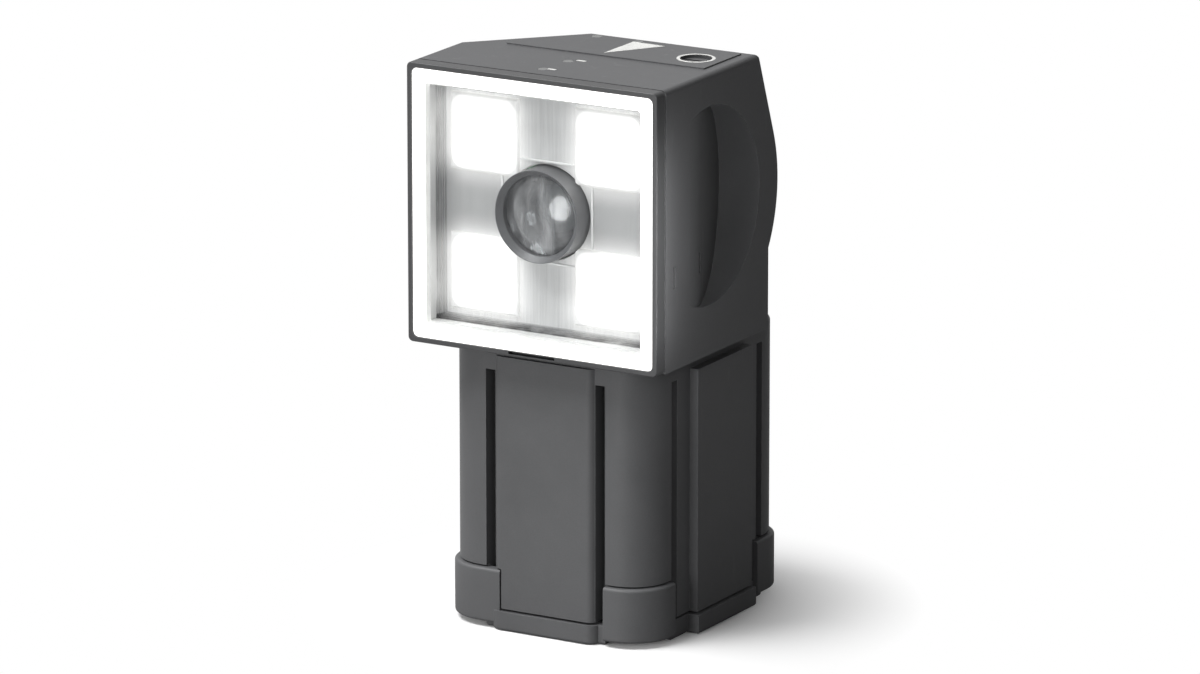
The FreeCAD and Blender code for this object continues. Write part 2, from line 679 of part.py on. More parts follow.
def base_gasket():
    z0, z1 = CAP_PLATE[1], HOUSING_BOTTOM
    rim = CLAW_IN + 2 * CLAW_GAP
    outer = rounded_plan(POST_HALF_X - rim, POST_FRONT_D + rim, POST_BACK_D - rim, POST_R - rim, z0, z1)
    lap = GASKET_LAP
    inner = rounded_plan(CAVITY_HALF_X + lap, CAVITY_FRONT_D - lap, CAVITY_BACK_D + lap,
                         CAVITY_R + lap, z0 - OVER, z1 + OVER)
    islands = [rod.common(outer) for rod in boss_rods(BOSS_R, z0, z1)]
    body = join([outer.cut(inner)] + islands)
    return less(body, boss_rods(SCREW_HOLE_R, z0 - OVER, z1 + OVER) + column_slots())


def cap_screws():
    seat = CAP_PLATE[0] + SCREW_SEAT
    low = seat - SCREW_HEAD_H
    heads = boss_rods(SCREW_HEAD_R, low, seat)
    sockets = boss_rods(SCREW_SOCKET_R, low - OVER, low + SCREW_SOCKET_DEEP)
    shanks = boss_rods(SCREW_SHANK_R, seat, HOUSING_BOTTOM + SCREW_DEPTH - OVER)
    return [h.cut(k).fuse(t).removeSplitter() for h, k, t in zip(heads, sockets, shanks)]


# ---------------------------------------------------------------- window

def front_bezel():
    mid = BEZEL_DEPTH - 2 * FRAME_FRONT_D
    outer = rounded_front(HEAD_HALF, HEAD_HALF, HEAD_EDGE_R, 0, mid)
    outer = round_edges(outer, FRAME_FRONT_D, lambda c, e: abs(c.y - dep(0)) < SLACK)
    step = HEAD_HALF - FRAME_FRONT_D
    rear = rounded_front(step, step, HEAD_EDGE_R, mid, BEZEL_DEPTH)
    opening = rounded_front(FRAME_HALF, FRAME_HALF, FRAME_CORNER_R, -OVER, BEZEL_DEPTH + OVER)
    notch = block((-NOTCH_HALF, NOTCH_HALF), (-OVER, NOTCH_DEEP), NOTCH_Z)
    return less(outer.fuse(rear), [opening, notch])


def light_frame():
    outer = rounded_front(FRAME_HALF - SLACK / 2, FRAME_HALF - SLACK / 2, FRAME_CORNER_R,
                          FRAME_FRONT_D, BEZEL_DEPTH)
    lip = rounded_front(FRAME_OPEN_HALF, FRAME_OPEN_HALF, FRAME_EDGE_R, 0, BEZEL_DEPTH)
    rebate = square_front(PANE_HALF + SLACK / 2, FRAME_LIP_D, BEZEL_DEPTH + OVER)
    return less(outer, [lip, rebate])


def front_window():
    return square_front(PANE_HALF, FRAME_LIP_D, PANE_BACK_D)


def window_gasket():
    ring = square_front(PANE_HALF, PANE_BACK_D, BEZEL_DEPTH)
    return ring.cut(square_front(GLOW_IN_HALF, PANE_BACK_D - OVER, BEZEL_DEPTH + OVER))


def led_centres():
    mid = (LED_IN + LED_OUT) / 2
    return [(sx * mid, LENS_Z + sz * mid) for sx in (-1, 1) for sz in (-1, 1)]


def quad(x, z, half, d0, d1):
    return block((x - half, x + half), (d0, d1), (z - half, z + half))


def reflector():
    body = square_front(REFLECTOR_HALF, BEZEL_DEPTH, REFLECTOR_BACK_D)
    run = (REFLECTOR_FLOOR_D - BEZEL_DEPTH) / REFLECTOR_STEPS
    tools = []
    for i in range(REFLECTOR_STEPS):
        half = GLOW_IN_HALF - i * REFLECTOR_STEP_IN
        tools.append(square_front(half, BEZEL_DEPTH - OVER, BEZEL_DEPTH + (i + 1) * run))
    floor_back = REFLECTOR_FLOOR_D + REFLECTOR_PLATE
    led_half = (LED_OUT - LED_IN) / 2
    for x, z in led_centres():
        tools.append(quad(x, z, led_half + SLACK, REFLECTOR_FLOOR_D - OVER, floor_back + OVER))
        tools.append(quad(x, z, led_half + LED_FLANGE, floor_back, REFLECTOR_BACK_D + OVER))
    tools.append(rod_y(0, LENS_Z, TUBE_R + LENS_GAP, 0, REFLECTOR_BACK_D + OVER))
    return less(body, tools)


def led_lenses():
    """Four square light covers: rounded front, flange behind the floor, corner clear of the lens tube."""
    half = (LED_OUT - LED_IN) / 2
    floor_back = REFLECTOR_FLOOR_D + REFLECTOR_PLATE
    covers = []
    for x, z in led_centres():
        pillar = quad(x, z, half, LED_FRONT_D, floor_back)
        pillar = round_edges(pillar, LED_EDGE_R, lambda c, e: abs(c.y - dep(LED_FRONT_D)) < SLACK)
        flange = quad(x, z, half + LED_FLANGE - SLACK, floor_back, floor_back + LED_FLANGE_T)
        room = rod_y(0, LENS_Z, TUBE_R + LENS_GAP, 0, BODY_DEPTH)
        covers.append(less(pillar.fuse(flange), [room]))
    return covers


def led_board():
    half = REFLECTOR_HALF - LED_BOARD_IN
    board = square_front(half, REFLECTOR_BACK_D, REFLECTOR_BACK_D + LED_BOARD_T)
    return board.cut(rod_y(0, LENS_Z, TUBE_R + LENS_GAP, 0, BODY_DEPTH))


def led_chips():
    half = LED_CHIP / 2
    return [quad(x, z, half, REFLECTOR_BACK_D - LED_CHIP_T, REFLECTOR_BACK_D) for x, z in led_centres()]


# ---------------------------------------------------------------- lens

def lens_holder():
    tube = rod_y(0, LENS_Z, TUBE_R, TUBE_FRONT_D, HOLDER_PLATE_D)
    collar = rod_y(0, LENS_Z, COLLAR_R, *COLLAR_D)
    rear = square_front(HOLDER_HALF, HOLDER_PLATE_D, HOLDER_BACK_D)
    bore = rod_y(0, LENS_Z, TUBE_BORE_R, 0, BODY_DEPTH)
    slot_z = (LENS_Z - ARM_HALF_Z - ARM_ROOM, LENS_Z + ARM_HALF_Z + ARM_ROOM)
    room = FOCUS_TRAVEL + ARM_ROOM
    slot = block((0, COLLAR_R + OVER), (ARM_D[0] - room, ARM_D[1] + room), slot_z)
    body = less(join([tube, collar, rear]), [bore, slot])
    mouth = Part.makeCone(TUBE_R - SLACK, TUBE_BORE_R, OVER, vec(0, dep(TUBE_FRONT_D), LENS_Z), vec(0, 1, 0))
    back = HOLDER_BACK_D
    return less(body, [mouth] + holder_screw_rods(HOLDER_SCREW_R, back - HOLDER_SCREW_DEPTH, back + OVER))


def holder_screw_rods(r, d0, d1):
    at = HOLDER_SCREW_AT
    return [rod_y(sx * at, LENS_Z + sz * at, r, d0, d1) for sx in (-1, 1) for sz in (-1, 1)]


def holder_screws():
    face = HOLDER_BACK_D + SENSOR_BOARD_T
    heads = holder_screw_rods(HOLDER_SCREW_HEAD_R, face, face + HOLDER_SCREW_HEAD_H)
    shanks = holder_screw_rods(HOLDER_SCREW_R, HOLDER_BACK_D - HOLDER_SCREW_DEPTH + SLACK, face)
    return [h.fuse(t).removeSplitter() for h, t in zip(heads, shanks)]


def tooth_gap(reach):
    """Half widths of a tooth flank at the root and the tip of the mesh."""
    half = math.pi * GEAR_MODULE / 4 - GEAR_BACKLASH / 2
    lean = reach * math.tan(math.radians(GEAR_FLANK_DEG))
    return half + lean, half - lean


def lens_carriage():
    barrel = rod_y(0, LENS_Z, CARRIAGE_R, *CARRIAGE_D)
    eye = rod_y(0, LENS_Z, CARRIAGE_EYE_R, 0, BODY_DEPTH)
    front_cup = rod_y(0, LENS_Z, CARRIAGE_BORE_R, CARRIAGE_D[0] - OVER, LENS_FRONT_D + LENS_FRONT_T)
    rear_cup = rod_y(0, LENS_Z, CARRIAGE_BORE_R, LENS_REAR_D, BODY_DEPTH)
    reach = block((CARRIAGE_EYE_R + OVER, ARM_X[1]), ARM_D, (LENS_Z - ARM_HALF_Z, LENS_Z + ARM_HALF_Z))
    barrel = less(barrel.fuse(reach), [eye, front_cup, rear_cup])
    upright = block(ARM_X, ARM_D, (LENS_Z - ARM_HALF_Z, RACK_Z[1]))
    pitch_x = FOCUS_X - GEAR_PITCH_R
    bar_x = pitch_x - GEAR_FOOT
    bar = block((ARM_X[0], bar_x), RACK_D, RACK_Z)
    return join([barrel, upright, bar] + rack_teeth(bar_x, pitch_x))


def rack_teeth(bar_x, pitch_x):
    pitch = math.pi * GEAR_MODULE
    root, tip = tooth_gap(GEAR_MODULE)
    count = int((RACK_D[1] - FOCUS_D) / pitch)
    teeth = []
    for i in range(-count, count + 1):
        mid = FOCUS_D + i * pitch
        points = [(bar_x - SLACK, mid - root), (pitch_x + GEAR_MODULE, mid - tip),
                  (pitch_x + GEAR_MODULE, mid + tip), (bar_x - SLACK, mid + root)]
        teeth.append(plan_prism(points, *RACK_Z))
    return teeth


def lens_disc(d0, d1, r, bulge_front, bulge_rear):
    """Glass element turned about the optical axis, with a bulged front and back."""
    axis_point = vec(0, 0, LENS_Z)

    def at(x, d):
        return vec(x, dep(d), LENS_Z)

    def face_edge(rim_d, bulge):
        if not bulge:
            return Part.makeLine(at(0, rim_d), at(r, rim_d))
        pole = rim_d + bulge
        ball = (r * r + bulge * bulge) / (2 * abs(bulge))
        drop = ball - math.sqrt(ball * ball - r * r / 4)
        middle = pole - math.copysign(drop, bulge)
        return Part.Arc(at(0, pole), at(r / 2, middle), at(r, rim_d)).toShape()

    edges = [
        face_edge(d0, -bulge_front),
        Part.makeLine(at(r, d0), at(r, d1)),
        face_edge(d1, bulge_rear),
        Part.makeLine(at(0, d1 + bulge_rear), at(0, d0 - bulge_front)),
    ]
    wire = Part.Wire(Part.__sortEdges__(edges))
    return Part.Face(wire).revolve(axis_point, vec(0, 1, 0), 360)


def front_lens():
    r = CARRIAGE_BORE_R - FOCUS_FIT
    back = LENS_FRONT_D + LENS_FRONT_T - LENS_BULGE / 2
    return lens_disc(LENS_FRONT_D, back, r, LENS_BULGE, LENS_BULGE / 2)


def rear_lens():
    r = CARRIAGE_BORE_R - FOCUS_FIT
    return lens_disc(LENS_REAR_D + LENS_SEAT, LENS_REAR_D + LENS_REAR_T, r, LENS_BULGE / 2, 0)


def focus_screw():
    seat = HEAD_TOP - FOCUS_SEAT_DEEP + FOCUS_FIT
    head = rod_z(FOCUS_X, FOCUS_D, FOCUS_HEAD_R, seat, seat + FOCUS_HEAD_T)
    slot = block((FOCUS_X - FOCUS_HEAD_R - OVER, FOCUS_X + FOCUS_HEAD_R + OVER),
                 (FOCUS_D - FOCUS_SLOT / 2, FOCUS_D + FOCUS_SLOT / 2),
                 (seat + FOCUS_HEAD_T - FOCUS_SLOT_DEEP, HEAD_TOP + OVER))
    shaft = rod_z(FOCUS_X, FOCUS_D, FOCUS_SHAFT_R, RACK_Z[0], seat)
    return head.cut(slot).fuse(shaft).removeSplitter()


def focus_seal():
    z1 = HEAD_TOP - FOCUS_SEAT_DEEP
    z0 = z1 - SEAL_T
    ring = rod_z(FOCUS_X, FOCUS_D, SEAL_R, z0, z1)
    return ring.cut(rod_z(FOCUS_X, FOCUS_D, FOCUS_SHAFT_R + FOCUS_FIT, z0 - OVER, z1 + OVER))


def focus_pinion():
    z0, z1 = RACK_Z
    root_r = GEAR_PITCH_R - GEAR_FOOT
    hub = rod_z(FOCUS_X, FOCUS_D, root_r, z0, z1)
    root, tip = tooth_gap(GEAR_MODULE)
    step = 360 / GEAR_TEETH
    centre = vec(FOCUS_X, dep(FOCUS_D), 0)
    foot_x = FOCUS_X - root_r + SLACK
    tip_x = FOCUS_X - GEAR_PITCH_R - GEAR_MODULE
    teeth = []
    for i in range(GEAR_TEETH):
        points = [(foot_x, FOCUS_D - root), (tip_x, FOCUS_D - tip),
                  (tip_x, FOCUS_D + tip), (foot_x, FOCUS_D + root)]
        tooth = plan_prism(points, z0, z1)
        tooth.rotate(centre, vec(0, 0, 1), (i + 1 / 2) * step)
        teeth.append(tooth)
    body = join([hub] + teeth)
    return body.cut(rod_z(FOCUS_X, FOCUS_D, FOCUS_SHAFT_R + FOCUS_FIT, z0 - OVER, z1 + OVER))


# ---------------------------------------------------------------- electronics

def sensor_board():
    d0 = HOLDER_BACK_D
    board = square_front(SENSOR_BOARD_HALF, d0, d0 + SENSOR_BOARD_T)
    return less(board, holder_screw_rods(HOLDER_SCREW_R + SLACK, 0, BODY_DEPTH))


def image_sensor():
    d1 = HOLDER_BACK_D
    return square_front(SENSOR_HALF, d1 - SENSOR_T, d1)


def inner_chassis():
    plate = block((-CHASSIS_HALF_X, CHASSIS_HALF_X), CHASSIS_D, (CHASSIS_LOW, BOARD_TOP))
    posts = [rod_y(sx * STANDOFF_X, z, STANDOFF_R, CHASSIS_D[0], MAIN_BOARD_D[0])
             for sx in (-1, 1) for z in STANDOFF_Z]
    return join([plate] + posts)


def main_board():
    board = block((-MAIN_BOARD_HALF_X, MAIN_BOARD_HALF_X), MAIN_BOARD_D, MAIN_BOARD_Z)
    holes = [rod_y(sx * STANDOFF_X, z, SCREW_SHANK_R, 0, BODY_DEPTH) for sx in (-1, 1) for z in STANDOFF_Z]
    return less(board, holes)


def board_screws():
    screws = []
    for sx in (-1, 1):
        for z in STANDOFF_Z:
            x = sx * STANDOFF_X
            head = rod_y(x, z, STANDOFF_R, MAIN_BOARD_D[1], MAIN_BOARD_D[1] + BOARD_SCREW_HEAD_H)
            shank = rod_y(x, z, SCREW_SHANK_R - SLACK, MAIN_BOARD_D[0] + SLACK / 2, MAIN_BOARD_D[1])
            screws.append(head.fuse(shank).removeSplitter())
    return screws


def chip_sites():
    """Centre X, centre Z and half sizes of the chips on the main board."""
    low, high = MAIN_BOARD_Z
    mid = (low + high) / 2
    side = MAIN_BOARD_HALF_X - SIDE_CHIP_IN
    big = BIG_CHIP_HALF
    return ((0, mid, big, big), (0, high - TOP_CHIP_DROP, *TOP_CHIP_HALF),
            (-side, mid, *SIDE_CHIP_HALF), (side, mid, *SIDE_CHIP_HALF))


def board_chips():
    d1 = MAIN_BOARD_D[0]
    return [block((x - hx, x + hx), (d1 - CHIP_T, d1), (z - hz, z + hz)) for x, z, hx, hz in chip_sites()]


def thermal_pad():
    x, z, hx, hz = chip_sites()[0]
    d0 = CHASSIS_D[1]
    return block((x - hx, x + hx), (d0, d0 + PAD_T), (z - hz, z + hz))


def io_board():
    half_x = CAVITY_HALF_X - IO_BOARD_IN_X
    d = (CAVITY_FRONT_D + IO_BOARD_IN_D, CAVITY_BACK_D - IO_BOARD_IN_D)
    return block((-half_x, half_x), d, IO_BOARD_Z)


def board_link():
    """Stacking connector between the two boards."""
    z0 = IO_BOARD_Z[1]
    return block((-LINK_HALF_X, LINK_HALF_X), MAIN_BOARD_D, (z0, MAIN_BOARD_Z[0]))


def sensor_flex():
    """Flat cable from the sensor board over the chassis to the main board."""
    x = (-FLEX_HALF_X, FLEX_HALF_X)
    top = LENS_Z - SENSOR_BOARD_HALF + FLEX_LAP
    start_d = HOLDER_BACK_D + SENSOR_BOARD_T
    low = MAIN_BOARD_Z[1] + FLEX_T
    behind = MAIN_BOARD_D[0] + FLEX_T
    drop = block(x, (start_d, start_d + FLEX_T), (low, top))
    run = block(x, (start_d, behind), (low, low + FLEX_T))
    tail = block(x, (behind - FLEX_T, behind), (MAIN_BOARD_Z[1], low + FLEX_T))
    return join([drop, run, tail])


def socket_shell(d):
    z0, z1 = SOCKET_Z
    shell = rod_z(0, d, SOCKET_R, z0, z1)
    flange = rod_z(0, d, SOCKET_FLANGE_R, CAP_PLATE[1], CAP_PLATE[1] + SOCKET_FLANGE_T)
    bore = rod_z(0, d, SOCKET_BORE_R, z0 - OVER, SOCKET_FLOOR)
    mouth = Part.makeCone(SOCKET_BORE_R + SOCKET_CHAMFER, SOCKET_BORE_R, SOCKET_CHAMFER, vec(0, dep(d), z0))
    return less(shell.fuse(flange), [bore, mouth])


def ring_pins(d, count, ring_r, start_deg):
    pins = []
    for i in range(count):
        angle = math.radians(start_deg + i * 360 / count)
        x, off = ring_r * math.cos(angle), ring_r * math.sin(angle)
        pin = rod_z(x, d + off, PIN_R, PIN_TIP + PIN_R, SOCKET_FLOOR)
        tip = Part.makeSphere(PIN_R, vec(x, dep(d + off), PIN_TIP + PIN_R))
        pins.append(pin.fuse(tip).removeSplitter())
    return pins


def power_pins():
    d = SOCKET_D[0]
    centre = rod_z(0, d, PIN_R, PIN_TIP, SOCKET_FLOOR)
    return [centre] + ring_pins(d, POWER_PIN_COUNT, SOCKET_BORE_R - PIN_IN, POWER_PIN_TURN)


def network_pins():
    ring_r = SOCKET_BORE_R - PIN_SHORT_IN
    return ring_pins(SOCKET_D[1], NETWORK_PIN_COUNT, ring_r, NETWORK_PIN_TURN)


def status_lights():
    return [rod_z(x, d, LIGHT_R, HEAD_TOP - HEAD_WALL_Z, top_at(d)) for x, d in LIGHT_SPOTS]


def top_at(d):
    """Height of the top face at a spot: the rear panel is a shade higher."""
    return HEAD_TOP + PANEL_RISE if d > PANEL_FRONT_D else HEAD_TOP


PARTS = {
    "main_housing": main_housing,
    "base_cap": base_cap,
    "base_gasket": base_gasket,
    "cap_screws": cap_screws,
    "front_bezel": front_bezel,
    "light_frame": light_frame,
    "front_window": front_window,
    "window_gasket": window_gasket,
    "reflector": reflector,
    "led_lenses": led_lenses,
    "led_board": led_board,
    "led_chips": led_chips,
    "lens_holder": lens_holder,
    "lens_carriage": lens_carriage,
    "holder_screws": holder_screws,
    "front_lens": front_lens,
    "rear_lens": rear_lens,
    "focus_screw": focus_screw,
    "focus_pinion": focus_pinion,
    "focus_seal": focus_seal,
    "sensor_board": sensor_board,
    "image_sensor": image_sensor,
    "inner_chassis": inner_chassis,
    "main_board": main_board,
    "board_screws": board_screws,
    "board_chips": board_chips,
    "thermal_pad": thermal_pad,
    "io_board": io_board,
    "board_link": board_link,
    "sensor_flex": sensor_flex,
    "power_socket": lambda: socket_shell(SOCKET_D[0]),
    "network_socket": lambda: socket_shell(SOCKET_D[1]),
    "power_pins": power_pins,
    "network_pins": network_pins,
    "status_lights": status_lights,
}

os.makedirs("parts", exist_ok=True)
for node, make in PARTS.items():
    made = make()
    shape = Part.makeCompound(made) if isinstance(made, list) else made
    shape.exportStep("parts/" + node + ".step")
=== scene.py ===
import math

import bmesh
import bpy
from mathutils import Matrix, Vector


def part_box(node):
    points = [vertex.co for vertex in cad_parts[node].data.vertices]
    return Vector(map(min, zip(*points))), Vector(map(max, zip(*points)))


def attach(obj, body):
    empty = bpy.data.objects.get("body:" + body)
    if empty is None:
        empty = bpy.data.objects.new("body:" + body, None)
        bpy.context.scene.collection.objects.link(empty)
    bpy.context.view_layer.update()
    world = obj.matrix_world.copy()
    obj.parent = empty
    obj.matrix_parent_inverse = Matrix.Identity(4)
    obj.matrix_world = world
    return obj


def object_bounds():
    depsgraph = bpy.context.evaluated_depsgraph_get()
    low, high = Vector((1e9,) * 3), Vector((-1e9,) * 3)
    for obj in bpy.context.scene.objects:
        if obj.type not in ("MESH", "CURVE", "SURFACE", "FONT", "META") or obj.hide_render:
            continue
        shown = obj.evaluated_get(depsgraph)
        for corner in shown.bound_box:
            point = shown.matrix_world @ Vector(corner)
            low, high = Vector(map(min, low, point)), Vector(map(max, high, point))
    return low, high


bl_info = {
    "name": "Square Head Vision Camera",
    "version": (1, 0, 0),
    "blender": (4, 5, 0),
    "location": "View3D > Sidebar > Vision Camera",
    "description": "Finishes, printed marks and small pieces of a compact machine vision camera",
    "category": "Object",
}

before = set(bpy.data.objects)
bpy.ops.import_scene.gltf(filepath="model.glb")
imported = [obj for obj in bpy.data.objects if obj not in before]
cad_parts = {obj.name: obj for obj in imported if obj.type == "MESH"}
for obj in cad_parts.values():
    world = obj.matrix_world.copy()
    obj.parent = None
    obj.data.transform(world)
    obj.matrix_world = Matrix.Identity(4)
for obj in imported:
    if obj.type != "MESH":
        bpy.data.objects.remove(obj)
CAD_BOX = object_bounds()
MM = 0.001
BODY = "camera_body"
UP = Vector((0, 0, 1))
BACK = Vector((0, 1, 0))
SPIN_STEPS = 72

# ---- places on the object, in metres ----
FRONT_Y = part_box("front_bezel")[0].y
PANEL_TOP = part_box("main_housing")[1].z
PANEL_RISE = 0.25 * MM
HEAD_TOP = PANEL_TOP - PANEL_RISE
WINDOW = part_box("front_window")
LENS_Z = (WINDOW[0].z + WINDOW[1].z) / 2
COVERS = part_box("led_lenses")
COVER_MID = 12.15 * MM
COVER_RIM = 0.4 * MM
COVER_HALF = (COVERS[1].x - COVERS[0].x) / 2 - COVER_MID - COVER_RIM
COVER_ROUND = 3.0 * MM

# ---- printed marks, in millimetres across and behind the bezel's front ----
WEDGE = ((1.75, 21.2), (1.85, 31.0), (8.2, 30.7))
DASHES = ((-0.05, 7.03, 0.75), (1.0, 15.0, 0.85))
DASH_HALF = 0.35

# ---- lens tube: the retainer and the glass in millimetres of radius and depth ----
RETAINER = ((5.58, 1.5), (5.58, 0.1), (5.35, 0.0), (4.9, 0.0), (4.25, 0.85), (4.25, 1.02), (4.9, 1.5))
RETAINER_LEAD = 0.55 * MM
GLASS_RIM_R = 6.98
GLASS_CURVE_R = 16.5
GLASS_FRONT = 0.45
GLASS_REAR = 2.3
GLASS_RINGS = 10

# ---- reflector: where its tones and painted shade begin and end, and its ribs, in metres ----
REFLECTOR_FLOOR = FRONT_Y + 5.5 * MM
REFLECTOR_WALL = (19.7 * MM, 19.9 * MM)
ARM_SHADE_FADE = (4.5 * MM, 9 * MM)
REFLECTOR_MOUTH = (FRONT_Y + 3.8 * MM, FRONT_Y + 5.2 * MM)
RIB_AT = 8.75 * MM
RIB_SIZE = (0.34 * MM, 0.36 * MM, 10.6 * MM)
RIB_LIFT = 0.12 * MM
RIB_EDGE = 0.09 * MM

# ---- sockets, in metres ----
THREAD_TURNS = 4
THREAD_START = 0.7 * MM
BORE_R = 6.0 * MM
THREAD_ROOT_R = 6.02 * MM
INSERT_Z = 8.2 * MM
INSERT_RADII = (4.5 * MM, 5.95 * MM)
INSERT_T = 1.15 * MM
KEY_RADII = (0.75 * MM, 0.6 * MM)
KEY_LONG = 4.4 * MM
KEY_AT = (0, 5.5 * MM, 7.1 * MM)

# ---- stage: size in metres, angles round and up in degrees, distance in metres, height over width ----
LAMP_AIM = Vector((0, 0, 0.055))
KEY_LAMP = (0.55, (-42, 62), 0.95, 1.0)
FRONT_LAMP = (0.11, (-1, 1), 0.28, 1.35)
SIDE_LAMP = (0.4, (44, 20), 0.95, 1.0)
STRIP_SIZE = (3 * MM, 34 * MM)
STRIP_AWAY = Vector((1, -0.75, 0)).normalized()
STRIP_REACH = 9 * MM
STRIP_SPOT = Vector((CAD_BOX[1][0], FRONT_Y + 2.5 * MM, LENS_Z - 3 * MM))
VIEW_AIM = Vector((13.365 * MM, FRONT_Y, LENS_Z - 18.616 * MM))
FLOOR_SIZE = 4.0
FLOOR_FADE = (0.022, 0.054)


# ---------------------------------------------------------------- settings

class ShellLook(bpy.types.PropertyGroup):
    """Moulded plastic of the housing, bezel and foot."""
    colour: bpy.props.FloatVectorProperty(
        name="Plastic colour", description="Charcoal of the moulded housing",
        default=(0.093, 0.094, 0.097, 1.0), size=4, min=0, max=1, subtype="COLOR")
    worn: bpy.props.FloatVectorProperty(
        name="Worn colour", description="Paler plastic where edges are rubbed",
        default=(0.19, 0.192, 0.198, 1.0), size=4, min=0, max=1, subtype="COLOR")
    roughness: bpy.props.FloatProperty(
        name="Roughness", description="Roughness of the spark eroded grain", default=0.56, min=0, max=1)
    grain: bpy.props.FloatProperty(
        name="Grain size", description="Width of one bump of the moulded grain",
        default=0.22 * MM, min=0.02 * MM, unit="LENGTH")
    edge: bpy.props.FloatProperty(
        name="Edge wear", description="Width of the rubbed band along edges",
        default=0.28 * MM, min=0.01 * MM, unit="LENGTH")


class GlowLook(bpy.types.PropertyGroup):
    """Lit frame around the window and the four light covers."""
    colour: bpy.props.FloatVectorProperty(
        name="Light colour", description="Colour of the built-in light",
        default=(1.0, 0.985, 0.96, 1.0), size=4, min=0, max=1, subtype="COLOR")
    frame_strength: bpy.props.FloatProperty(
        name="Frame strength", description="Brightness of the diffuser frame", default=1.35, min=0)
    cover_strength: bpy.props.FloatProperty(
        name="Cover strength", description="Brightness of the square light covers", default=4.6, min=0)
    # Painted light: strength of the glow painted on the reflector beside the covers, where their light falls
    # on it.
    reflector_glow_strength: bpy.props.FloatProperty(
        name="Reflector glow strength", description="Brightness of the reflector right beside the covers",
        default=0.42, min=0)


class MarkLook(bpy.types.PropertyGroup):
    """Ink marks printed on the top face."""
    ink: bpy.props.FloatVectorProperty(
        name="Ink colour", description="Pale ink of the printed marks",
        default=(0.72, 0.72, 0.70, 1.0), size=4, min=0, max=1, subtype="COLOR")
    film: bpy.props.FloatProperty(
        name="Ink film", description="Thickness of the printed ink",
        default=0.03 * MM, min=0.005 * MM, unit="LENGTH")
    ring_radius: bpy.props.FloatProperty(
        name="Dial ring radius", description="Outer radius of the ring round the focus screw",
        default=3.3 * MM, min=1 * MM, unit="LENGTH")
    ring_width: bpy.props.FloatProperty(
        name="Dial ring width", description="Width of the ring round the focus screw",
        default=0.55 * MM, min=0.1 * MM, unit="LENGTH")


class ThreadLook(bpy.types.PropertyGroup):
    """Turned threads and grooves."""
    pitch: bpy.props.FloatProperty(
        name="Socket pitch", description="Pitch of the thread in the two round sockets",
        default=1.0 * MM, min=0.2 * MM, unit="LENGTH")
    crest: bpy.props.FloatProperty(
        name="Socket crest", description="Height of the socket thread",
        default=0.42 * MM, min=0.05 * MM, unit="LENGTH")


class StageLook(bpy.types.PropertyGroup):
    """Floor, lights and camera."""
    floor: bpy.props.FloatVectorProperty(
        name="Floor colour", description="Pale floor under the camera",
        default=(0.90, 0.90, 0.90, 1.0), size=4, min=0, max=1, subtype="COLOR")
    bounce: bpy.props.FloatVectorProperty(
        name="Floor bounce", description="Floor colour that lights the camera from below",
        default=(0.22, 0.22, 0.22, 1.0), size=4, min=0, max=1, subtype="COLOR")
    key: bpy.props.FloatProperty(
        name="Key light", description="Power of the large soft light", default=12.2, min=0, unit="POWER")
    front: bpy.props.FloatProperty(
        name="Front light", description="Power of the soft light that faces the window",
        default=0.31, min=0, unit="POWER")
    fill: bpy.props.FloatProperty(
        name="Side fill", description="Power of the soft light on the right side",
        default=0.92, min=0, unit="POWER")
    strip: bpy.props.FloatProperty(
        name="Edge strip", description="Power of the small strip light beside the window's right edge",
        default=0.0038, min=0, unit="POWER")
    sky: bpy.props.FloatProperty(
        name="Ambient light", description="Strength of the even light of the room", default=0.13, min=0)
    lens: bpy.props.FloatProperty(
        name="Focal length", description="Focal length of the view in millimetres",
        default=252.0, min=10, subtype="UNSIGNED")
    turn: bpy.props.FloatProperty(
        name="View turn", description="How far the view goes round to the right of the front",
        default=math.radians(30.23), subtype="ANGLE", unit="ROTATION")
    rise: bpy.props.FloatProperty(
        name="View rise", description="How far the view looks down",
        default=math.radians(14.83), subtype="ANGLE", unit="ROTATION")
    distance: bpy.props.FloatProperty(
        name="View distance", description="Distance from the aim point",
        default=1.40394, min=0.1, unit="LENGTH")


GROUPS = {
    "shell_look": ShellLook,
    "glow_look": GlowLook,
    "mark_look": MarkLook,
    "thread_look": ThreadLook,
    "stage_look": StageLook,
}


# ---------------------------------------------------------------- material helper

class Wiring:
    """Adds and joins the nodes of one node tree."""

    def __init__(self, tree):
        self.tree = tree
        tree.nodes.clear()

    def feed(self, socket, value):
        if isinstance(value, bpy.types.NodeSocket):
            self.tree.links.new(value, socket)
        elif value is not None:
            socket.default_value = value

    def add(self, kind, inputs=None, **settings):
        node = self.tree.nodes.new(kind)
        for key, value in settings.items():
            setattr(node, key, value)
        for key, value in (inputs or {}).items():
            self.feed(node.inputs[key], value)
        return node

    def calc(self, operation, a, b=None, clamp=False):
        node = self.add("ShaderNodeMath", {0: a, 1: b}, operation=operation, use_clamp=clamp)
        return node.outputs[0]

    def span(self, value, low, high, start=0.0, end=1.0):
        node = self.add("ShaderNodeMapRange", {
            "Value": value, "From Min": low, "From Max": high, "To Min": start, "To Max": end}, clamp=True)
        return node.outputs[0]


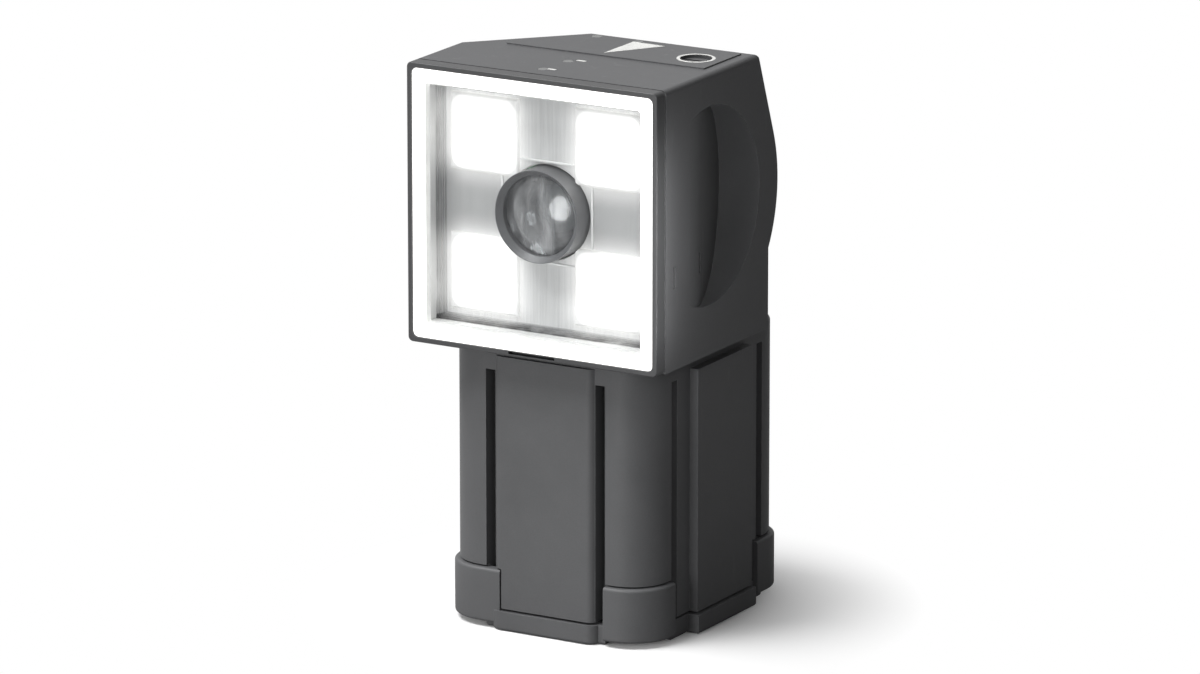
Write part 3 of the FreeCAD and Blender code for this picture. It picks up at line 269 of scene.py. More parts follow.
class Finish(Wiring):
    """Wires one procedural material."""

    def __init__(self, name):
        self.material = bpy.data.materials.new(name)
        self.material.use_nodes = True
        super().__init__(self.material.node_tree)
        self.place = self.add("ShaderNodeTexCoord").outputs["Object"]

    def stretch(self, scale, turn=(0, 0, 0)):
        """Object coordinates squeezed or turned for one-way patterns."""
        node = self.add("ShaderNodeMapping", {"Vector": self.place, "Scale": scale, "Rotation": turn})
        return node.outputs[0]

    def noise(self, size, detail=3.0, roughness=0.55, place=None):
        """Noise whose features are about size metres wide."""
        node = self.add("ShaderNodeTexNoise", {
            "Vector": place or self.place, "Scale": 1 / size, "Detail": detail, "Roughness": roughness})
        return node.outputs["Fac"]

    def cells(self, size):
        """Distance to scattered points about size metres apart."""
        node = self.add("ShaderNodeTexVoronoi", {"Vector": self.place, "Scale": 1 / size})
        return node.outputs["Distance"]

    def waves(self, size, distortion):
        """Wavy bands across X, about size metres wide."""
        node = self.add("ShaderNodeTexWave", {
            "Vector": self.place, "Scale": 0.16 / size, "Distortion": distortion}, bands_direction="X")
        return node.outputs["Fac"]

    def blend(self, factor, a, b):
        node = self.add("ShaderNodeMix", {0: factor, 6: a, 7: b}, data_type="RGBA")
        return node.outputs[2]

    def axis(self, letter):
        node = self.add("ShaderNodeSeparateXYZ", {0: self.place})
        return node.outputs[letter]

    def edges(self, width):
        """One along sharp edges, zero on flats."""
        soft = self.add("ShaderNodeBevel", {"Radius": width}, samples=4)
        plain = self.add("ShaderNodeNewGeometry")
        dot = self.add("ShaderNodeVectorMath", {0: soft.outputs[0], 1: plain.outputs["Normal"]},
                       operation="DOT_PRODUCT")
        return self.span(dot.outputs["Value"], 0.985, 0.80)

    def bump(self, height, depth, strength=1.0, normal=None):
        node = self.add("ShaderNodeBump", {
            "Height": height, "Distance": depth, "Strength": strength, "Normal": normal})
        return node.outputs[0]

    def close(self, shader):
        output = self.add("ShaderNodeOutputMaterial")
        self.tree.links.new(shader, output.inputs["Surface"])
        return self.material

    def surface(self, **inputs):
        """Ends the material in a principled shader."""
        names = {key.replace("_", " "): value for key, value in inputs.items()}
        node = self.add("ShaderNodeBsdfPrincipled", names)
        return self.close(node.outputs[0])


def tint(colour, factor):
    return tuple(min(1.0, c * factor) for c in colour[:3]) + (1.0,)


# ---------------------------------------------------------------- materials

def moulded(name, look, shade=1.0, roughness=None, grain=1.0):
    """Spark eroded plastic: fine grain, slow mottling, rubbed edges, faint handling marks."""
    f = Finish(name)
    rough = look.roughness if roughness is None else roughness
    fine = f.noise(look.grain * grain, 2.0, 0.6)
    slow = f.noise(11 * MM, 4.0, 0.6)
    drift = f.noise(38 * MM, 2.0, 0.5)
    base = f.blend(f.span(slow, 0.3, 0.7), tint(look.colour, shade * 0.90), tint(look.colour, shade * 1.10))
    base = f.blend(f.span(drift, 0.35, 0.65, 0.0, 0.35), base, tint(look.colour, shade * 1.22))
    base = f.blend(f.span(fine, 0.25, 0.75, 0.0, 0.30), base, tint(look.colour, shade * 0.70))
    broken = f.calc("MULTIPLY", f.edges(look.edge), f.span(f.noise(2.6 * MM, 4.0, 0.7), 0.36, 0.66), True)
    base = f.blend(f.calc("MULTIPLY", broken, 0.55), base, look.worn)
    scuff = f.noise(1.0, 3.0, 0.6, f.stretch((420, 420, 90), (0.3, 0.5, 0.2)))
    wide = f.calc("MULTIPLY_ADD", f.span(slow, 0.3, 0.7), 0.10)
    wide.node.inputs[2].default_value = rough - 0.05
    shine = f.calc("SUBTRACT", wide, f.span(scuff, 0.62, 0.75, 0.0, 0.10), True)
    normal = f.bump(fine, 0.035 * MM, 0.55)
    normal = f.bump(f.noise(4.5 * MM, 2.0), 0.03 * MM, 0.5, normal)
    return f.surface(Base_Color=base, Roughness=shine, Normal=normal, Specular_IOR_Level=0.36)


def glowing(name, colour, strength, falloff=0.0):
    """Milky diffuser lit from behind, with slight banding of the light."""
    f = Finish(name)
    cloud = f.span(f.noise(6 * MM, 2.0), 0.3, 0.7, 1 - falloff, 1.0)
    light = f.blend(f.span(f.noise(9 * MM, 3.0), 0.3, 0.7), colour, tint(colour, 0.97))
    power = f.calc("MULTIPLY", cloud, strength)
    normal = f.bump(f.noise(0.4 * MM, 2.0), 0.01 * MM, 0.3)
    return f.surface(Base_Color=(0.86, 0.86, 0.85, 1), Roughness=0.32, Normal=normal,
                     Emission_Color=light, Emission_Strength=power)


def cover_reach(f):
    """Distance in metres outside the nearest light cover, rounded at its corners, negative inside it."""
    across = f.calc("SUBTRACT", f.calc("ABSOLUTE", f.axis("X")), COVER_MID)
    up = f.calc("SUBTRACT", f.calc("ABSOLUTE", f.calc("SUBTRACT", f.axis("Z"), LENS_Z)), COVER_MID)
    over = [f.calc("MAXIMUM", f.calc("SUBTRACT", f.calc("ABSOLUTE", v), COVER_HALF - COVER_ROUND), 0.0)
            for v in (across, up)]
    squares = f.calc("ADD", f.calc("POWER", over[0], 2.0), f.calc("POWER", over[1], 2.0))
    return f.calc("SUBTRACT", f.calc("SQRT", squares), COVER_ROUND)


def light_cover(name, look):
    """Milky square cover: brightest in the middle, fading towards its rim."""
    f = Finish(name)
    fade = f.calc("POWER", f.span(cover_reach(f), -3.0 * MM, 0.1 * MM, 1.0, 0.42), 3.0)
    cloud = f.span(f.noise(3.5 * MM, 3.0), 0.3, 0.7, 0.88, 1.0)
    power = f.calc("MULTIPLY", f.calc("MULTIPLY", fade, cloud), look.cover_strength)
    normal = f.bump(f.noise(0.35 * MM, 2.0), 0.01 * MM, 0.4)
    return f.surface(Base_Color=(0.58, 0.58, 0.575, 1), Roughness=0.30, Normal=normal,
                     Emission_Color=tuple(look.colour), Emission_Strength=power)


def pane_glass(name):
    """Clear pane with a faint coating and a few dust specks."""
    f = Finish(name)
    dust = f.span(f.cells(1.6 * MM), 0.0, 0.05, 1.0, 0.0)
    haze = f.span(f.noise(14 * MM, 4.0), 0.35, 0.75, 0.0, 0.035)
    cover = f.calc("ADD", f.calc("MULTIPLY", dust, 0.25), haze, True)
    clear = f.add("ShaderNodeBsdfTransparent", {"Color": (0.985, 0.99, 0.992, 1)})
    shine = f.add("ShaderNodeBsdfGlossy", {"Color": (0.95, 0.97, 1.0, 1), "Roughness": 0.03})
    veil = f.add("ShaderNodeBsdfDiffuse", {"Color": (0.9, 0.9, 0.9, 1)})
    rim = f.add("ShaderNodeFresnel", {"IOR": 1.35})
    inside = f.add("ShaderNodeNewGeometry").outputs["Backfacing"]
    mirror = f.calc("MULTIPLY", rim.outputs[0], f.calc("SUBTRACT", 1.0, inside))
    first = f.add("ShaderNodeMixShader", {0: mirror, 1: clear.outputs[0], 2: shine.outputs[0]})
    both = f.add("ShaderNodeMixShader", {0: f.calc("MULTIPLY", cover, 0.5), 1: first.outputs[0],
                                         2: veil.outputs[0]})
    return f.close(both.outputs[0])


def satin_reflector(name, look):
    """Milky moulded reflector with fine upright tool lines, a glow painted round the covers, painted shade on
    the arms beside the lens and on the recess walls, and a broken painted shadow along the walls' front edge.
    """
    f = Finish(name)
    lines = f.noise(1.0, 2.0, 0.6, f.stretch((2600, 2600, 60)))
    slow = f.noise(9 * MM, 3.0)
    base = f.blend(f.span(slow, 0.3, 0.7), (0.58, 0.58, 0.575, 1), (0.66, 0.66, 0.655, 1))
    base = f.blend(f.span(lines, 0.35, 0.7, 0.0, 0.30), base, (0.34, 0.34, 0.34, 1))
    up = f.calc("ABSOLUTE", f.calc("SUBTRACT", f.axis("Z"), LENS_Z))
    across = f.calc("ABSOLUTE", f.axis("X"))
    # Painted shade: the arms left and right of the lens, near its height, are darkened where the lens tube
    # shades them.
    arm_shade = f.span(up, *ARM_SHADE_FADE, 1.0, 0.0)
    base = f.blend(f.calc("MULTIPLY", arm_shade, 0.7), base, (0.32, 0.32, 0.32, 1))
    # Painted shade: the walls of the recess round the reflector are darkened.
    wall = f.span(f.calc("MAXIMUM", up, across), *REFLECTOR_WALL)
    base = f.blend(f.calc("MULTIPLY", wall, 0.7), base, (0.24, 0.24, 0.24, 1))
    base = f.blend(f.calc("MULTIPLY", f.edges(0.15 * MM), 0.35), base, (0.75, 0.75, 0.75, 1))
    # Painted shadow: a dark line along the front edge of the walls, broken by noise, strongest on the top and
    # bottom walls.
    mouth = f.span(f.axis("Y"), *REFLECTOR_MOUTH, 1.0, 0.0)
    shadow_breaks = f.span(f.noise(7 * MM, 3.0), 0.40, 0.54)
    level = f.span(up, *REFLECTOR_WALL, 0.30, 1.0)
    seam_shadow = f.calc("MULTIPLY", f.calc("MULTIPLY", mouth, wall), f.calc("MULTIPLY", shadow_breaks, level))
    # Painted shade: the top and bottom walls are darker still.
    base = f.blend(f.calc("MULTIPLY", wall, f.span(up, *REFLECTOR_WALL, 0.0, 0.5)), base,
                   (0.10, 0.10, 0.10, 1))
    # Painted shadow along the walls' front edge.
    base = f.blend(seam_shadow, base, (0.015, 0.015, 0.015, 1))
    # Painted light: the reflector glows round the covers, in place of the covers' light falling on it.
    glow_reach = f.span(cover_reach(f), 0.0, 4.4 * MM, 1.0, 0.0)
    glow = f.calc("MULTIPLY", f.calc("MULTIPLY", glow_reach, glow_reach), look.reflector_glow_strength)
    return f.surface(Base_Color=base, Roughness=f.span(slow, 0.3, 0.7, 0.34, 0.46),
                     Normal=f.bump(lines, 0.02 * MM, 0.5), Specular_IOR_Level=0.25,
                     Emission_Color=tuple(look.colour), Emission_Strength=glow)


def metal(name, colour, roughness):
    """Bare or plated metal with turning marks, tarnish and bright edges."""
    f = Finish(name)
    marks = f.noise(1.0, 2.0, 0.6, f.stretch((900, 900, 9000)))
    tarnish = f.noise(3.2 * MM, 4.0, 0.65)
    base = f.blend(f.span(tarnish, 0.3, 0.72), tint(colour, 0.88), tint(colour, 1.06))
    base = f.blend(f.calc("MULTIPLY", f.edges(0.12 * MM), 0.5), base, tint(colour, 1.35))
    rough = f.calc("ADD", f.span(tarnish, 0.3, 0.7, roughness - 0.06, roughness + 0.08),
                   f.span(marks, 0.4, 0.7, 0.0, 0.07), True)
    return f.surface(Base_Color=base, Metallic=1.0, Roughness=rough, Normal=f.bump(marks, 0.006 * MM, 0.5))


def dull(name, colour, roughness, grain=0.3, spread=0.14, specular=0.4, edge=1.25):
    """Matt part: rubber, chip, anodised or moulded, with grain and mottling."""
    f = Finish(name)
    fine = f.noise(grain * MM, 3.0, 0.6)
    slow = f.noise(5 * MM, 3.0)
    base = f.blend(f.span(slow, 0.3, 0.7), tint(colour, 1 - spread), tint(colour, 1 + spread))
    base = f.blend(f.span(fine, 0.3, 0.7, 0.0, 0.3), base, tint(colour, 0.75))
    base = f.blend(f.calc("MULTIPLY", f.edges(0.15 * MM), 0.6), base, tint(colour, edge))
    rough = f.span(slow, 0.3, 0.7, roughness - 0.05, roughness + 0.07)
    return f.surface(Base_Color=base, Roughness=rough, Normal=f.bump(fine, 0.02 * MM, 0.4),
                     Specular_IOR_Level=specular)


def board(name):
    """Green solder mask over faint copper tracks."""
    f = Finish(name)
    tracks = f.span(f.waves(0.7 * MM, 5.0), 0.55, 0.62)
    slow = f.noise(6 * MM, 3.0)
    base = f.blend(f.span(slow, 0.3, 0.7), (0.012, 0.085, 0.035, 1), (0.018, 0.115, 0.05, 1))
    base = f.blend(f.calc("MULTIPLY", tracks, 0.6), base, (0.03, 0.16, 0.07, 1))
    pads = f.span(f.cells(2.6 * MM), 0.10, 0.07)
    base = f.blend(f.calc("MULTIPLY", pads, 0.8), base, (0.62, 0.60, 0.55, 1))
    return f.surface(Base_Color=base, Roughness=f.span(slow, 0.3, 0.7, 0.28, 0.40),
                     Normal=f.bump(tracks, 0.03 * MM, 0.6))


def lens_element(name, clear=0.9):
    """Coated glass: glossy with a faint smear; the share set by clear is see-through and the rest shows the
    pale base, which on the front glass is painted glare.
    """
    f = Finish(name)
    smear = f.noise(3 * MM, 3.0)
    rough = f.span(smear, 0.4, 0.8, 0.0, 0.05)
    base = f.blend(f.span(smear, 0.3, 0.7), (0.80, 0.86, 0.90, 1), (0.88, 0.90, 0.92, 1))
    return f.surface(Base_Color=base, Roughness=rough, IOR=1.62, Transmission_Weight=clear,
                     Coat_Weight=0.35, Coat_Roughness=0.03)


def coated_cover(name):
    """Thin glass over the lens tube: half mirror coating, with slanting streaks of painted reflection in its
    tone and in how much of the coat shows.
    """
    f = Finish(name)
    reflection_streaks = f.noise(1.0, 2.0, 0.5, f.stretch((520, 40, 110), (0.0, 0.7, 0.0)))
    veil = f.span(reflection_streaks, 0.40, 0.70, 0.40, 0.75)
    clear = f.add("ShaderNodeBsdfTransparent", {"Color": (0.90, 0.92, 0.93, 1)})
    # Painted reflection: the slanting streaks lighten the coat's colour.
    tone = f.blend(f.span(reflection_streaks, 0.35, 0.7), (0.12, 0.12, 0.124, 1), (0.36, 0.36, 0.365, 1))
    coat = f.add("ShaderNodeBsdfPrincipled", {
        "Base Color": tone, "Roughness": 0.10, "Coat Weight": 0.9, "Coat Roughness": 0.13, "Coat IOR": 2.1})
    mixed = f.add("ShaderNodeMixShader", {0: veil, 1: clear.outputs[0], 2: coat.outputs[0]})
    return f.close(mixed.outputs[0])


def ink_film(name, colour):
    """Pad printed ink with pinholes where the grain shows through."""
    f = Finish(name)
    holes = f.span(f.noise(0.28 * MM, 3.0, 0.6), 0.30, 0.42, 0.0, 1.0)
    base = f.blend(f.span(f.noise(2 * MM, 3.0), 0.3, 0.7), tint(colour, 0.86), colour)
    base = f.blend(holes, tint(colour, 0.45), base)
    return f.surface(Base_Color=base, Roughness=0.6, Normal=f.bump(holes, 0.01 * MM, 0.4))


def smoked_lens(name):
    """Dark clear plastic over a status light that is off."""
    f = Finish(name)
    depth = f.noise(0.8 * MM, 2.0)
    base = f.blend(f.span(depth, 0.3, 0.7), (0.018, 0.022, 0.02, 1), (0.045, 0.05, 0.046, 1))
    return f.surface(Base_Color=base, Roughness=f.span(depth, 0.3, 0.7, 0.12, 0.2),
                     Normal=f.bump(depth, 0.02 * MM, 0.3), Coat_Weight=0.4, Coat_Roughness=0.06)


def paint(material, *nodes):
    """Gives CAD pieces their finish."""
    for node in nodes:
        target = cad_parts[node]
        if not target.material_slots:
            target.data.materials.append(material)
        for slot in target.material_slots:
            slot.material = material


# ---------------------------------------------------------------- mesh helper

def finish_piece(name, bm, material, body=BODY, smooth=False):
    """Turns a bmesh into a piece that rides on a body."""
    bmesh.ops.remove_doubles(bm, verts=bm.verts, dist=0.001 * MM)
    bmesh.ops.recalc_face_normals(bm, faces=bm.faces)
    mesh = bpy.data.meshes.new(name)
    bm.to_mesh(mesh)
    bm.free()
    for polygon in mesh.polygons:
        polygon.use_smooth = smooth
    mesh.materials.append(material)
    piece = bpy.data.objects.new(name, mesh)
    bpy.context.scene.collection.objects.link(piece)
    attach(piece, body)


def direction(turn, rise):
    """Unit vector from the object towards a place round to the right of the front and up."""
    return Vector((math.sin(turn) * math.cos(rise), -math.cos(turn) * math.cos(rise), math.sin(rise)))


def at(x, d, z):
    """A point from millimetres across, behind the bezel's front and up."""
    return Vector((x * MM, FRONT_Y + d * MM, z))


def flat_shape(bm, corners, z, film):
    """A thin printed shape on the top face."""
    face = bm.faces.new([bm.verts.new(at(x, d, z)) for x, d in corners])
    made = bmesh.ops.extrude_face_region(bm, geom=[face])
    verts = [g for g in made["geom"] if isinstance(g, bmesh.types.BMVert)]
    bmesh.ops.translate(bm, verts=verts, vec=UP * film)


def spin_profile(bm, centre, axis, profile):
    """Spins a closed profile of radii and heights in metres about an axis through centre."""
    side = axis.orthogonal().normalized()
    verts = [bm.verts.new(centre + side * r + axis * h) for r, h in profile]
    edges = [bm.edges.new((verts[k], verts[(k + 1) % len(verts)])) for k in range(len(verts))]
    bmesh.ops.spin(bm, geom=verts + edges, cent=centre, axis=axis, angle=math.tau,
                   steps=SPIN_STEPS, use_merge=True)


def annulus(bm, centre, inner, outer, height):
    """A flat ring with a square section that stands on centre."""
    spin_profile(bm, centre, UP, ((inner, 0), (outer, 0), (outer, height), (inner, height)))


def turned(centre, profile):
    """A turned piece from radii and depths in millimetres behind centre."""
    bm = bmesh.new()
    spin_profile(bm, centre, BACK, [(r * MM, h * MM) for r, h in profile])
    return bm


def grooves(bm, centre, start, pitch, crest_r):
    """Closed ridges side by side on the inside of a bore."""
    for i in range(THREAD_TURNS):
        base = start + i * pitch
        spin_profile(bm, centre, UP, ((THREAD_ROOT_R, base), (crest_r, base + pitch * 0.4),
                                      (crest_r, base + pitch * 0.6), (THREAD_ROOT_R, base + pitch)))


# ---------------------------------------------------------------- operators

class CamOperator(bpy.types.Operator):
    """Shared settings of the operators in this file."""
    bl_options = {"REGISTER", "UNDO"}

    def look(self, context, name):
        return getattr(context.scene, name)


class VISCAM_OT_shell(CamOperator):
    """Gives the housing, bezel, foot and seals their moulded finish."""
    bl_idname = "viscam.shell"
    bl_label = "Finish shell"

    def execute(self, context):
        look = self.look(context, "shell_look")
        paint(moulded("moulded_housing", look), "main_housing")
        paint(moulded("moulded_foot", look, 1.04), "base_cap")
        paint(moulded("moulded_bezel", look, 0.55, 0.42, 0.8), "front_bezel")
        paint(dull("seal_rubber", (0.022, 0.022, 0.023, 1), 0.82, 0.4), "base_gasket", "focus_seal")
        return {"FINISHED"}


class VISCAM_OT_light(CamOperator):
    """Lights the diffuser frame and the four square covers, and finishes the reflector."""
    bl_idname = "viscam.light"
    bl_label = "Finish light"

    def execute(self, context):
        look = self.look(context, "glow_look")
        paint(glowing("lit_frame", look.colour, look.frame_strength, 0.08), "light_frame")
        paint(light_cover("lit_cover", look), "led_lenses")
        paint(satin_reflector("pale_reflector", look), "reflector")
        paint(dull("pale_silicone", (0.50, 0.50, 0.495, 1), 0.55, 0.3, 0.08), "window_gasket")
        paint(dull("light_package", (0.75, 0.72, 0.55, 1), 0.5), "led_chips")
        return {"FINISHED"}


class VISCAM_OT_optics(CamOperator):
    """Finishes the window, the lens tube, its glass and the focus drive."""
    bl_idname = "viscam.optics"
    bl_label = "Finish optics"

    def execute(self, context):
        paint(pane_glass("window_pane"), "front_window")
        paint(dull("tube_anodised", (0.10, 0.101, 0.105, 1), 0.40, 0.12, 0.12, 0.5, 1.6), "lens_holder")
        paint(dull("carriage_anodised", (0.11, 0.11, 0.115, 1), 0.36, 0.12, 0.12, 0.5, 1.6),
              "lens_carriage")
        # Painted glare: the front glass lets only a third through, so its pale base shows as a bright haze.
        paint(lens_element("pale_glare_glass", 0.35), "front_lens")
        paint(lens_element("rear_glass"), "rear_lens")
        paint(metal("focus_steel", (0.16, 0.16, 0.165, 1), 0.38), "focus_screw")
        paint(metal("pinion_brass", (0.70, 0.52, 0.25, 1), 0.34), "focus_pinion")
        return {"FINISHED"}


class VISCAM_OT_inside(CamOperator):
    """Finishes boards, chips, chassis, pads and fasteners."""
    bl_idname = "viscam.inside"
    bl_label = "Finish inside"

    def execute(self, context):
        paint(board("solder_mask"), "led_board", "sensor_board", "main_board", "io_board")
        paint(dull("chip_epoxy", (0.03, 0.03, 0.032, 1), 0.5, 0.2), "board_chips", "board_link")
        paint(dull("sensor_cover", (0.02, 0.024, 0.03, 1), 0.2, 0.3, 0.1, 0.6), "image_sensor")
        paint(metal("chassis_aluminium", (0.66, 0.67, 0.68, 1), 0.36), "inner_chassis")
        paint(dull("thermal_silicone", (0.20, 0.30, 0.34, 1), 0.75, 0.5), "thermal_pad")
        paint(dull("flex_film", (0.42, 0.20, 0.05, 1), 0.35, 0.5), "sensor_flex")
        paint(metal("screw_zinc", (0.60, 0.61, 0.62, 1), 0.34), "cap_screws", "board_screws",
              "holder_screws")
        return {"FINISHED"}


class VISCAM_OT_connectors(CamOperator):
    """Finishes the two round sockets and their contacts."""
    bl_idname = "viscam.connectors"
    bl_label = "Finish connectors"

    def execute(self, context):
        paint(metal("socket_nickel", (0.58, 0.57, 0.54, 1), 0.30), "power_socket", "network_socket")
        paint(metal("contact_gold", (0.86, 0.62, 0.24, 1), 0.22), "power_pins", "network_pins")
        return {"FINISHED"}


class VISCAM_OT_threads(CamOperator):
    """Adds the screw threads, inserts and keys of the two sockets."""
    bl_idname = "viscam.threads"
    bl_label = "Add socket threads"

    def execute(self, context):
        look = self.look(context, "thread_look")
        nickel = bpy.data.materials["socket_nickel"]
        insert = dull("socket_insert", (0.03, 0.03, 0.03, 1), 0.45)
        for node in ("power_socket", "network_socket"):
            low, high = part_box(node)
            centre = Vector(((low.x + high.x) / 2, (low.y + high.y) / 2, 0))
            bm = bmesh.new()
            grooves(bm, centre, low.z + THREAD_START, look.pitch, BORE_R - look.crest)
            finish_piece(node + "_thread", bm, nickel)
            bm = bmesh.new()
            annulus(bm, centre + UP * INSERT_Z, *INSERT_RADII, INSERT_T)
            bmesh.ops.create_cone(bm, cap_ends=True, segments=24, radius1=KEY_RADII[0],
                                  radius2=KEY_RADII[1], depth=KEY_LONG,
                                  matrix=Matrix.Translation(centre + Vector(KEY_AT)))
            finish_piece(node + "_key", bm, insert)
        return {"FINISHED"}


class VISCAM_OT_marks(CamOperator):
    """Prints the wedge, the dial ring and the dashes on the top face."""
    bl_idname = "viscam.marks"
    bl_label = "Add top marks"

    def execute(self, context):
        look = self.look(context, "mark_look")
        ink = ink_film("printed_ink", look.ink)
        bm = bmesh.new()
        flat_shape(bm, WEDGE, PANEL_TOP, look.film)
        for x, d, half in DASHES:
            near, far = d - DASH_HALF, d + DASH_HALF
            corners = ((x - half, near), (x + half, near), (x + half, far), (x - half, far))
            flat_shape(bm, corners, HEAD_TOP, look.film)
        finish_piece("top_marks", bm, ink)
        low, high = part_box("focus_screw")
        centre = Vector(((low.x + high.x) / 2, (low.y + high.y) / 2, PANEL_TOP))
        bm = bmesh.new()
        annulus(bm, centre, look.ring_radius - look.ring_width, look.ring_radius, look.film)
        finish_piece("dial_ring", bm, ink)
        return {"FINISHED"}


class VISCAM_OT_lens_details(CamOperator):
    """Adds the cover glass of the lens tube, the ring that holds the front glass and the reflector ribs."""
    bl_idname = "viscam.lens_details"
    bl_label = "Add lens details"

    def execute(self, context):
        black = dull("retainer_black", (0.02, 0.02, 0.022, 1), 0.35, 0.3, 0.1, 0.5, 2.0)
        seat = Vector((0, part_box("front_lens")[0].y - RETAINER_LEAD, LENS_Z))
        finish_piece("glass_retainer", turned(seat, RETAINER), black, "lens")
        mouth = Vector((0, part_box("lens_holder")[0].y, LENS_Z))
        radii = [GLASS_RIM_R * k / GLASS_RINGS for k in range(GLASS_RINGS + 1)]
        cap = [(r, GLASS_FRONT + GLASS_CURVE_R - math.sqrt(GLASS_CURVE_R ** 2 - r ** 2)) for r in radii]
        dome = [(0.0, GLASS_REAR)] + cap + [(GLASS_RIM_R, GLASS_REAR)]
        finish_piece("tube_glass", turned(mouth, dome), coated_cover("tube_coating"),
                     smooth=True)
        self.add_ribs()
        return {"FINISHED"}

    def add_ribs(self):
        """Four low ribs of the reflector round the lens tube, one on each bar."""
        bm = bmesh.new()
        for turn in range(4):
            spin = Matrix.Rotation(turn * math.pi / 2, 4, "Y")
            place = Matrix.Translation((0, REFLECTOR_FLOOR - RIB_LIFT, LENS_Z)) @ spin
            shape = place @ Matrix.Translation((RIB_AT, 0, 0)) @ Matrix.Diagonal((*RIB_SIZE, 1.0))
            bmesh.ops.create_cube(bm, size=1.0, matrix=shape)
        bmesh.ops.bevel(bm, geom=list(bm.edges), offset=RIB_EDGE, segments=2, profile=0.5,
                        affect="EDGES", material=-1)
        finish_piece("reflector_ribs", bm, dull("rib_white", (0.82, 0.82, 0.81, 1), 0.3, 0.3, 0.06))


class VISCAM_OT_indicators(CamOperator):
    """Paints the four status lights."""
    bl_idname = "viscam.indicators"
    bl_label = "Finish status lights"

    def execute(self, context):
        paint(smoked_lens("smoked_dome"), "status_lights")
        return {"FINISHED"}


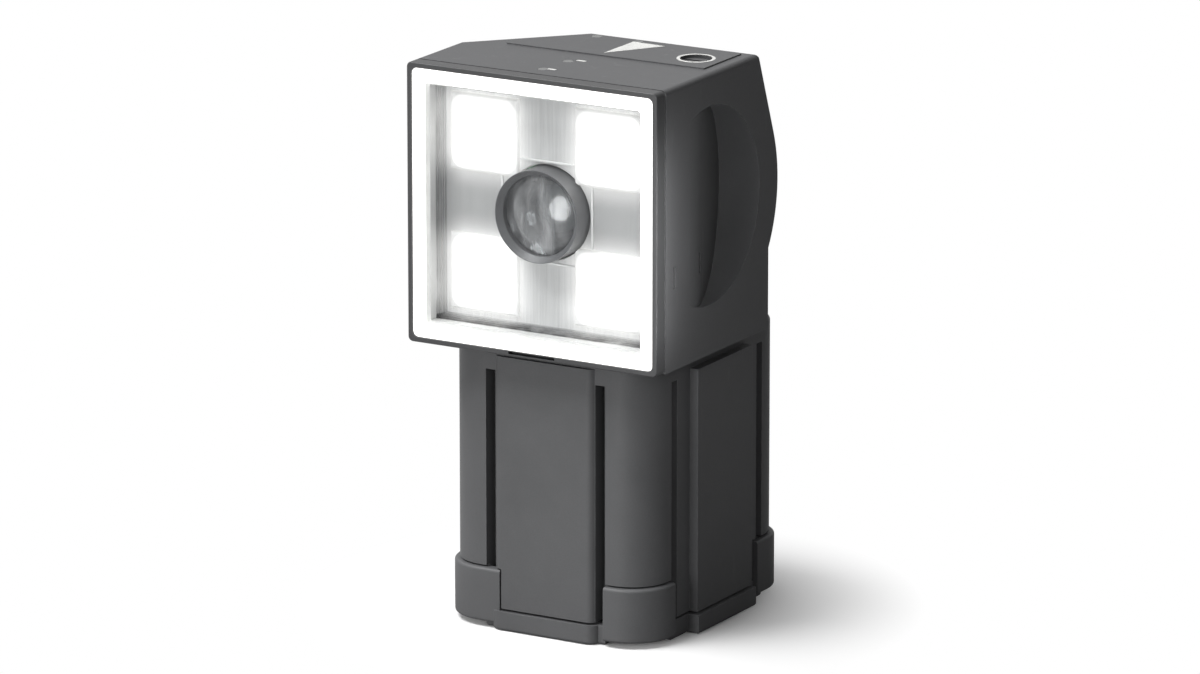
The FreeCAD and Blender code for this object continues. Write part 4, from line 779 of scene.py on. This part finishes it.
class VISCAM_OT_stage(CamOperator):
    """Adds the floor, the lights, the room and the view."""
    bl_idname = "viscam.stage"
    bl_label = "Add stage"

    def execute(self, context):
        look = self.look(context, "stage_look")
        self.add_floor(look)
        self.add_room(look)
        self.add_soft_light("key_light", look.key, *KEY_LAMP)
        self.add_soft_light("front_light", look.front, *FRONT_LAMP)
        self.add_soft_light("side_light", look.fill, *SIDE_LAMP)
        self.add_strip(look.strip)
        self.add_view(context, look)
        return {"FINISHED"}

    def add_floor(self, look):
        bm = bmesh.new()
        bmesh.ops.create_grid(bm, x_segments=2, y_segments=2, size=FLOOR_SIZE)
        mesh = bpy.data.meshes.new("floor")
        bm.to_mesh(mesh)
        bm.free()
        floor = bpy.data.objects.new("floor", mesh)
        bpy.context.scene.collection.objects.link(floor)
        f = Finish("pale_floor")
        far = f.add("ShaderNodeVectorMath", {0: f.place}, operation="LENGTH")
        fade = f.span(far.outputs["Value"], *FLOOR_FADE)
        rays = f.add("ShaderNodeLightPath")
        gloss = f.calc("MULTIPLY", rays.outputs["Is Glossy Ray"],
                       f.span(f.axis("X"), -0.02, 0.03, 1.0, 0.10))
        seen = f.calc("MAXIMUM", rays.outputs["Is Camera Ray"],
                      f.calc("MAXIMUM", gloss, rays.outputs["Is Transmission Ray"]))
        matt = f.add("ShaderNodeBsdfDiffuse", {
            "Color": f.blend(f.calc("MAXIMUM", rays.outputs["Is Diffuse Ray"], rays.outputs["Is Glossy Ray"]),
                             tuple(look.floor), tuple(look.bounce))})
        white = f.add("ShaderNodeEmission", {"Color": (1, 1, 1, 1), "Strength": 1.0})
        mixed = f.add("ShaderNodeMixShader", {0: f.calc("MULTIPLY", fade, seen), 1: matt.outputs[0],
                                              2: white.outputs[0]})
        mesh.materials.append(f.close(mixed.outputs[0]))

    def add_room(self, look):
        """Dim room that looks white, apart from the side that the window's pane mirrors."""
        world = bpy.data.worlds.new("white_room")
        bpy.context.scene.world = world
        world.use_nodes = True
        w = Wiring(world.node_tree)
        rays = w.add("ShaderNodeLightPath").outputs
        place = w.add("ShaderNodeSeparateXYZ", {0: w.add("ShaderNodeTexCoord").outputs["Generated"]})
        gloss = w.calc("MULTIPLY", rays["Is Glossy Ray"], w.span(place.outputs["X"], 0.10, 0.45, 1.0, 0.12))
        clear = w.calc("MAXIMUM", gloss, rays["Is Transmission Ray"])
        seen = w.calc("MAXIMUM", rays["Is Camera Ray"], clear)
        dim = w.add("ShaderNodeBackground", {"Strength": look.sky})
        white = w.add("ShaderNodeBackground", {"Strength": 1.0})
        mixed = w.add("ShaderNodeMixShader", {0: seen, 1: dim.outputs[0], 2: white.outputs[0]})
        w.add("ShaderNodeOutputWorld", {"Surface": mixed.outputs[0]})

    def add_lamp(self, name, shape, power, size, place, away):
        """A flat lamp at a place, facing against the direction away."""
        data = bpy.data.lights.new(name, "AREA")
        data.shape = shape
        data.size, data.size_y = size
        data.energy = power
        lamp = bpy.data.objects.new(name, data)
        bpy.context.scene.collection.objects.link(lamp)
        lamp.location = place
        lamp.rotation_euler = away.to_track_quat("Z", "Y").to_euler()

    def add_soft_light(self, name, power, size, angles, distance, tall):
        away = direction(*(math.radians(a) for a in angles))
        self.add_lamp(name, "ELLIPSE", power, (size, size * tall), LAMP_AIM + away * distance, away)

    def add_strip(self, power):
        """A thin upright strip close to the side, where light spills round the window's edge."""
        self.add_lamp("edge_strip", "RECTANGLE", power, STRIP_SIZE,
                      STRIP_SPOT + STRIP_AWAY * STRIP_REACH, STRIP_AWAY)

    def add_view(self, context, look):
        back = direction(look.turn, look.rise)
        data = bpy.data.cameras.new("view")
        data.lens = look.lens
        data.sensor_width = 36.0
        data.clip_start = 0.05
        data.clip_end = 20.0
        view = bpy.data.objects.new("view", data)
        context.scene.collection.objects.link(view)
        view.location = VIEW_AIM + back * look.distance
        view.rotation_euler = back.to_track_quat("Z", "Y").to_euler()
        context.scene.camera = view
        context.scene.view_settings.view_transform = "Standard"


class VISCAM_PT_panel(bpy.types.Panel):
    """Lists the steps that dress the camera."""
    bl_idname = "VISCAM_PT_panel"
    bl_label = "Vision Camera"
    bl_space_type = "VIEW_3D"
    bl_region_type = "UI"
    bl_category = "Vision Camera"

    def draw(self, context):
        for group, kind in GROUPS.items():
            box = self.layout.box()
            box.label(text=kind.__doc__)
            for name in kind.__annotations__:
                box.prop(getattr(context.scene, group), name)
        for step in STEPS:
            self.layout.operator(step.bl_idname)


STEPS = (
    VISCAM_OT_stage,
    VISCAM_OT_shell,
    VISCAM_OT_light,
    VISCAM_OT_optics,
    VISCAM_OT_inside,
    VISCAM_OT_connectors,
    VISCAM_OT_threads,
    VISCAM_OT_marks,
    VISCAM_OT_lens_details,
    VISCAM_OT_indicators,
)


def register():
    for kind in tuple(GROUPS.values()) + STEPS + (VISCAM_PT_panel,):
        bpy.utils.register_class(kind)
    for name, kind in GROUPS.items():
        setattr(bpy.types.Scene, name, bpy.props.PointerProperty(type=kind))


def unregister():
    for name in GROUPS:
        delattr(bpy.types.Scene, name)
    for kind in (VISCAM_PT_panel,) + STEPS[::-1] + tuple(GROUPS.values())[::-1]:
        bpy.utils.unregister_class(kind)


def main():
    register()
    for step in STEPS:
        family, name = step.bl_idname.split(".")
        getattr(getattr(bpy.ops, family), name)()


if __name__ == "__main__":
    main()
